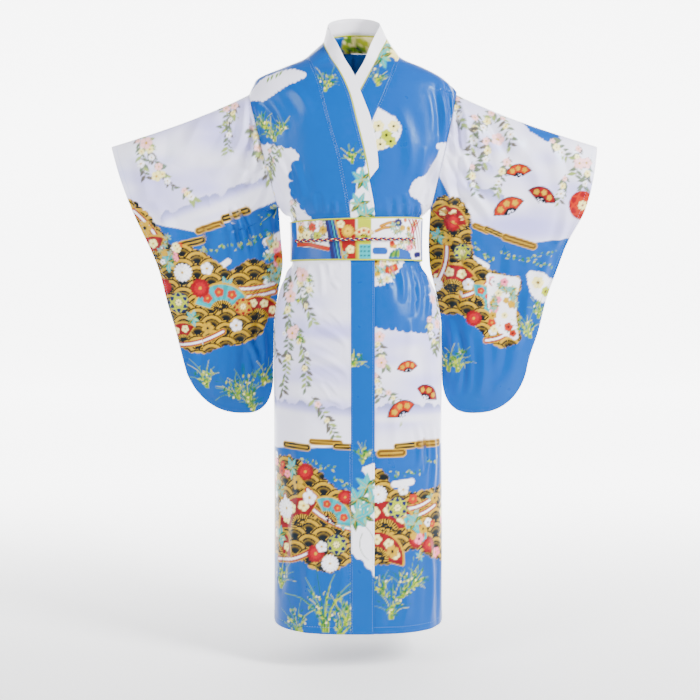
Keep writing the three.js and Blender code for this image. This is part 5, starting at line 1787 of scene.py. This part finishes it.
def make_cord():
    """Three pairs of yarns plaited over and under one another."""
    out = SASH_WALL / 2 + SEAM + CORD / 2
    turns = np.linspace(*CORD_SPAN, CORD_STEPS)
    middle = sash_point(turns, CORD_SHARE, out)
    up = np.array([0, 0, 1.0])
    outwards = np.cross(directions(middle), up)
    run = distances(middle)
    pieces = []
    for name, colour, third, thick in YARNS:
        phase = 2 * math.pi * (run / PLAIT + third / 3)
        parts = []
        for side in (-1, 1):
            rise = PLAIT_RISE * np.sin(phase) + side * PAIR * thick
            depth = PLAIT_DEPTH * np.sin(2 * phase)
            path = middle + up * rise[:, None] + outwards * depth[:, None]
            parts.append(tube_points(path, thick, YARN_SIDES))
        pieces.append((joined(f"cord_{name}", parts), colour))
    return pieces


WHITE_GLOSS = (1, 1, 1, 1)
SATIN_GLOSS = (0.42, 0.76, 1, 1)  # the satin shines blue
SPECULAR = 0.26
SHEEN_ROUGHNESS = 0.4
UNEVEN_ROUGHNESS = 0.06
UNEVEN_COLOUR = (0.9, 1.06)
THREADS = 900  # scale of the weave, and how far its threads are drawn out
DRAWN_OUT = 0.12
PUCKER_BUMP = {"Strength": 0.35, "Distance": 0.004}
WEAVE_BUMP = {"Strength": 0.25, "Distance": 0.0003}


def add_node(tree, kind, values, **settings):
    """A shader node with its settings and the values of its inputs."""
    node = tree.nodes.new("ShaderNode" + kind)
    for name, value in settings.items():
        setattr(node, name, value)
    set_values(node, values)
    return node


def set_values(node, values):
    for name, value in values.items():
        node.inputs[name].default_value = value


def material(name, roughness, sheen, colour=None, gloss=WHITE_GLOSS):
    """Woven cloth or yarn, in the colours of its print or in one colour."""
    mat = bpy.data.materials.new(name)
    mat.use_nodes = True
    tree = mat.node_tree
    link = tree.links.new
    shader = tree.nodes["Principled BSDF"]
    set_values(shader, {"Specular IOR Level": SPECULAR, "Specular Tint": gloss})
    set_values(shader, {"Sheen Weight": sheen, "Sheen Roughness": SHEEN_ROUGHNESS})
    where = tree.nodes.new("ShaderNodeTexCoord").outputs["Object"]

    def noise(scale, detail, stretch=(1, 1, 1)):
        mapping = add_node(tree, "Mapping", {"Scale": stretch})
        link(where, mapping.inputs["Vector"])
        texture = add_node(tree, "TexNoise", {"Scale": scale, "Detail": detail})
        link(mapping.outputs["Vector"], texture.inputs["Vector"])
        return texture.outputs["Fac"]

    def spread(value, low, high):
        to = add_node(tree, "MapRange", {"To Min": low, "To Max": high})
        link(value, to.inputs["Value"])
        return to.outputs["Result"]

    tint = add_node(tree, "Mix", {"Factor": 1}, data_type="RGBA", blend_type="MULTIPLY")
    if colour is None:
        shade = add_node(tree, "VertexColor", {}, layer_name="print")
        link(shade.outputs["Color"], tint.inputs["A"])
    else:
        tint.inputs["A"].default_value = (*linear(colour), 1)
    link(spread(noise(9, 3), *UNEVEN_COLOUR), tint.inputs["B"])
    link(tint.outputs["Result"], shader.inputs["Base Color"])
    rough = spread(noise(30, 2), roughness - UNEVEN_ROUGHNESS, roughness + UNEVEN_ROUGHNESS)
    link(rough, shader.inputs["Roughness"])
    weave = add_node(tree, "Math", {}, operation="ADD")
    link(noise(THREADS, 1, (1, 1, DRAWN_OUT)), weave.inputs[0])
    link(noise(THREADS, 1, (DRAWN_OUT, DRAWN_OUT, 1)), weave.inputs[1])
    pucker = add_node(tree, "Bump", PUCKER_BUMP)
    link(noise(22, 3, (1, 1, 0.6)), pucker.inputs["Height"])
    bump = add_node(tree, "Bump", WEAVE_BUMP)
    link(weave.outputs[0], bump.inputs["Height"])
    link(pucker.outputs["Normal"], bump.inputs["Normal"])
    link(bump.outputs["Normal"], shader.inputs["Normal"])
    return mat


# What makes each panel of the robe, and how the names of its two nodes end
PANELS = {
    "front": (make_front, ("upper", "lower")),
    "back": (make_back, ("upper", "lower")),
    "sleeve": (make_sleeve, ("front", "back")),
    "band": (make_band, ("upper", "lower")),
}


def place_piece(piece, nodes, mat):
    """A piece rides on the one body and stands for its nodes."""
    piece.data.materials.append(mat)
    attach(piece, "root")
    if nodes:
        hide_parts(*nodes)


def dress():
    satin = material("printed_satin", 0.3, 0.01, gloss=SATIN_GLOSS)
    sash_satin = material("sash_satin", 0.34, 0.01)
    white = material("white_satin", 0.4, 0.1, PALE)
    lime = material("lime_piping", 0.4, 0.1, LIME)
    cotton = material("thread", 0.6, 0.2, THREAD)
    for side in SIDES:
        for kind, (make, ends) in PANELS.items():
            nodes = [f"{side}_{kind}_{end}" for end in ends]
            place_piece(make(side), nodes, satin)
    place_piece(make_white_collar(), ["white_collar"], white)
    place_piece(make_collar_piping(), ["collar_piping"], lime)
    place_piece(make_sash(), ["sash"], sash_satin)
    for node, share in (("sash_piping_upper", 1), ("sash_piping_lower", 0)):
        place_piece(make_sash_piping(node + "_cord", share), [node], lime)
    for piece in sewing.values():
        place_piece(piece, [], cotton)
    for k, (piece, colour) in enumerate(make_cord()):
        yarn = material(piece.name + "_yarn", 0.6, 0.3, colour)
        place_piece(piece, ["sash_cord"] if k == 0 else [], yarn)


# The camera's place and aim, in metres and radians
CAMERA_PLACE = (0.0, -2.501, -0.5669)
CAMERA_PITCH = 0.0193
CAMERA_FOCUS = 1043  # in pixels of a picture 700 across
PICTURE = 700
MIDDLE_COLUMN = 353.5
CAMERA_SHIFT = 0.05
SENSOR = 36


def make_camera():
    lens = bpy.data.cameras.new("camera")
    lens.sensor_width = SENSOR
    lens.lens = CAMERA_FOCUS / PICTURE * SENSOR
    lens.shift_x = (PICTURE / 2 - MIDDLE_COLUMN) / PICTURE
    lens.shift_y = -CAMERA_SHIFT
    camera = bpy.data.objects.new("camera", lens)
    camera.location = CAMERA_PLACE
    camera.rotation_euler = (math.pi / 2 - CAMERA_PITCH, 0, 0)
    bpy.context.collection.objects.link(camera)
    bpy.context.scene.camera = camera


# The floor runs up into a far backdrop, in metres
FLOOR_Z = -1.42
SWEEP_NEAR = -8.0
SWEEP_FAR = 9.0
SWEEP_BEND = 2.5
SWEEP_TOP = 7.0
SWEEP_HALF = 18.0
SWEEP_GLOW = 5  # the part behind the object is lit, as paper behind a photograph
GLOW_DEEP = (-0.6, 2.4)  # where the glow starts and is full, from front to back
GLOW_ASIDE = (14, 7)  # and from the sides to the middle


def make_sweep():
    turn = np.linspace(0, math.pi / 2, 13)
    bend = zip(SWEEP_FAR - SWEEP_BEND * (1 - np.sin(turn)), FLOOR_Z + SWEEP_BEND * (1 - np.cos(turn)))
    profile = [(SWEEP_NEAR, FLOOR_Z), *bend, (SWEEP_FAR, SWEEP_TOP)]
    points = [(side * SWEEP_HALF * 1000, y * 1000, z * 1000) for y, z in profile for side in (-1, 1)]
    faces = [[2 * k, 2 * k + 1, 2 * k + 3, 2 * k + 2] for k in range(len(profile) - 1)]
    sweep = new_mesh("sweep", points, faces)
    paper = bpy.data.materials.new("pale_paper")
    paper.use_nodes = True
    tree = paper.node_tree
    link = tree.links.new
    shader = tree.nodes["Principled BSDF"]
    set_values(shader, {"Base Color": (0.93, 0.93, 0.94, 1), "Roughness": 0.9})
    set_values(shader, {"Emission Color": (1, 1, 1, 1)})
    place = tree.nodes.new("ShaderNodeSeparateXYZ")
    link(tree.nodes.new("ShaderNodeTexCoord").outputs["Object"], place.inputs["Vector"])
    aside = add_node(tree, "Math", {}, operation="ABSOLUTE")
    link(place.outputs["X"], aside.inputs[0])

    def fade(value, low, high, top):
        values = {"From Min": low, "From Max": high, "To Max": top}
        to = add_node(tree, "MapRange", values, interpolation_type="SMOOTHSTEP")
        link(value, to.inputs["Value"])
        return to.outputs["Result"]

    glow = add_node(tree, "Math", {}, operation="MULTIPLY")
    link(fade(place.outputs["Y"], *GLOW_DEEP, SWEEP_GLOW), glow.inputs[0])
    link(fade(aside.outputs[0], *GLOW_ASIDE, 1), glow.inputs[1])
    link(glow.outputs[0], shader.inputs["Emission Strength"])
    sweep.data.materials.append(paper)


LIGHT_AIM = (0, 0, -0.6)
# The lights: name, place, width and height in metres, and power in watts
LIGHTS = (
    ("key", (3.1, -1.9, 1.5), (0.9, 1.8), 420),
    ("fill", (-2.9, -2.3, 0.9), (1.2, 2.0), 130),
)


def area_light(name, place, size, watts):
    data = bpy.data.lights.new(name, "AREA")
    data.shape = "RECTANGLE"
    data.size, data.size_y = size
    data.energy = watts
    light = bpy.data.objects.new(name, data)
    light.location = place
    light.rotation_euler = (Vector(LIGHT_AIM) - Vector(place)).to_track_quat("-Z", "Y").to_euler()
    bpy.context.collection.objects.link(light)


SKY_LOW = 1.35  # strength level with the object, like the floor
SKY_HIGH = 0.5
SKY_TOP = 0.6  # the height at which the sky is at its weakest


def light_studio():
    world = bpy.data.worlds.new("studio")
    world.use_nodes = True
    tree = world.node_tree
    link = tree.links.new
    sky = tree.nodes["Background"]
    sky.inputs["Color"].default_value = (1, 1, 1, 1)
    towards = tree.nodes.new("ShaderNodeSeparateXYZ")
    link(tree.nodes.new("ShaderNodeTexCoord").outputs["Generated"], towards.inputs["Vector"])
    values = {"From Max": SKY_TOP, "To Min": SKY_LOW, "To Max": SKY_HIGH}
    height = add_node(tree, "MapRange", values, interpolation_type="SMOOTHSTEP")
    link(towards.outputs["Z"], height.inputs["Value"])
    link(height.outputs["Result"], sky.inputs["Strength"])
    bpy.context.scene.world = world
    for light in LIGHTS:
        area_light(*light)


make_camera()
make_sweep()
light_studio()
dress()
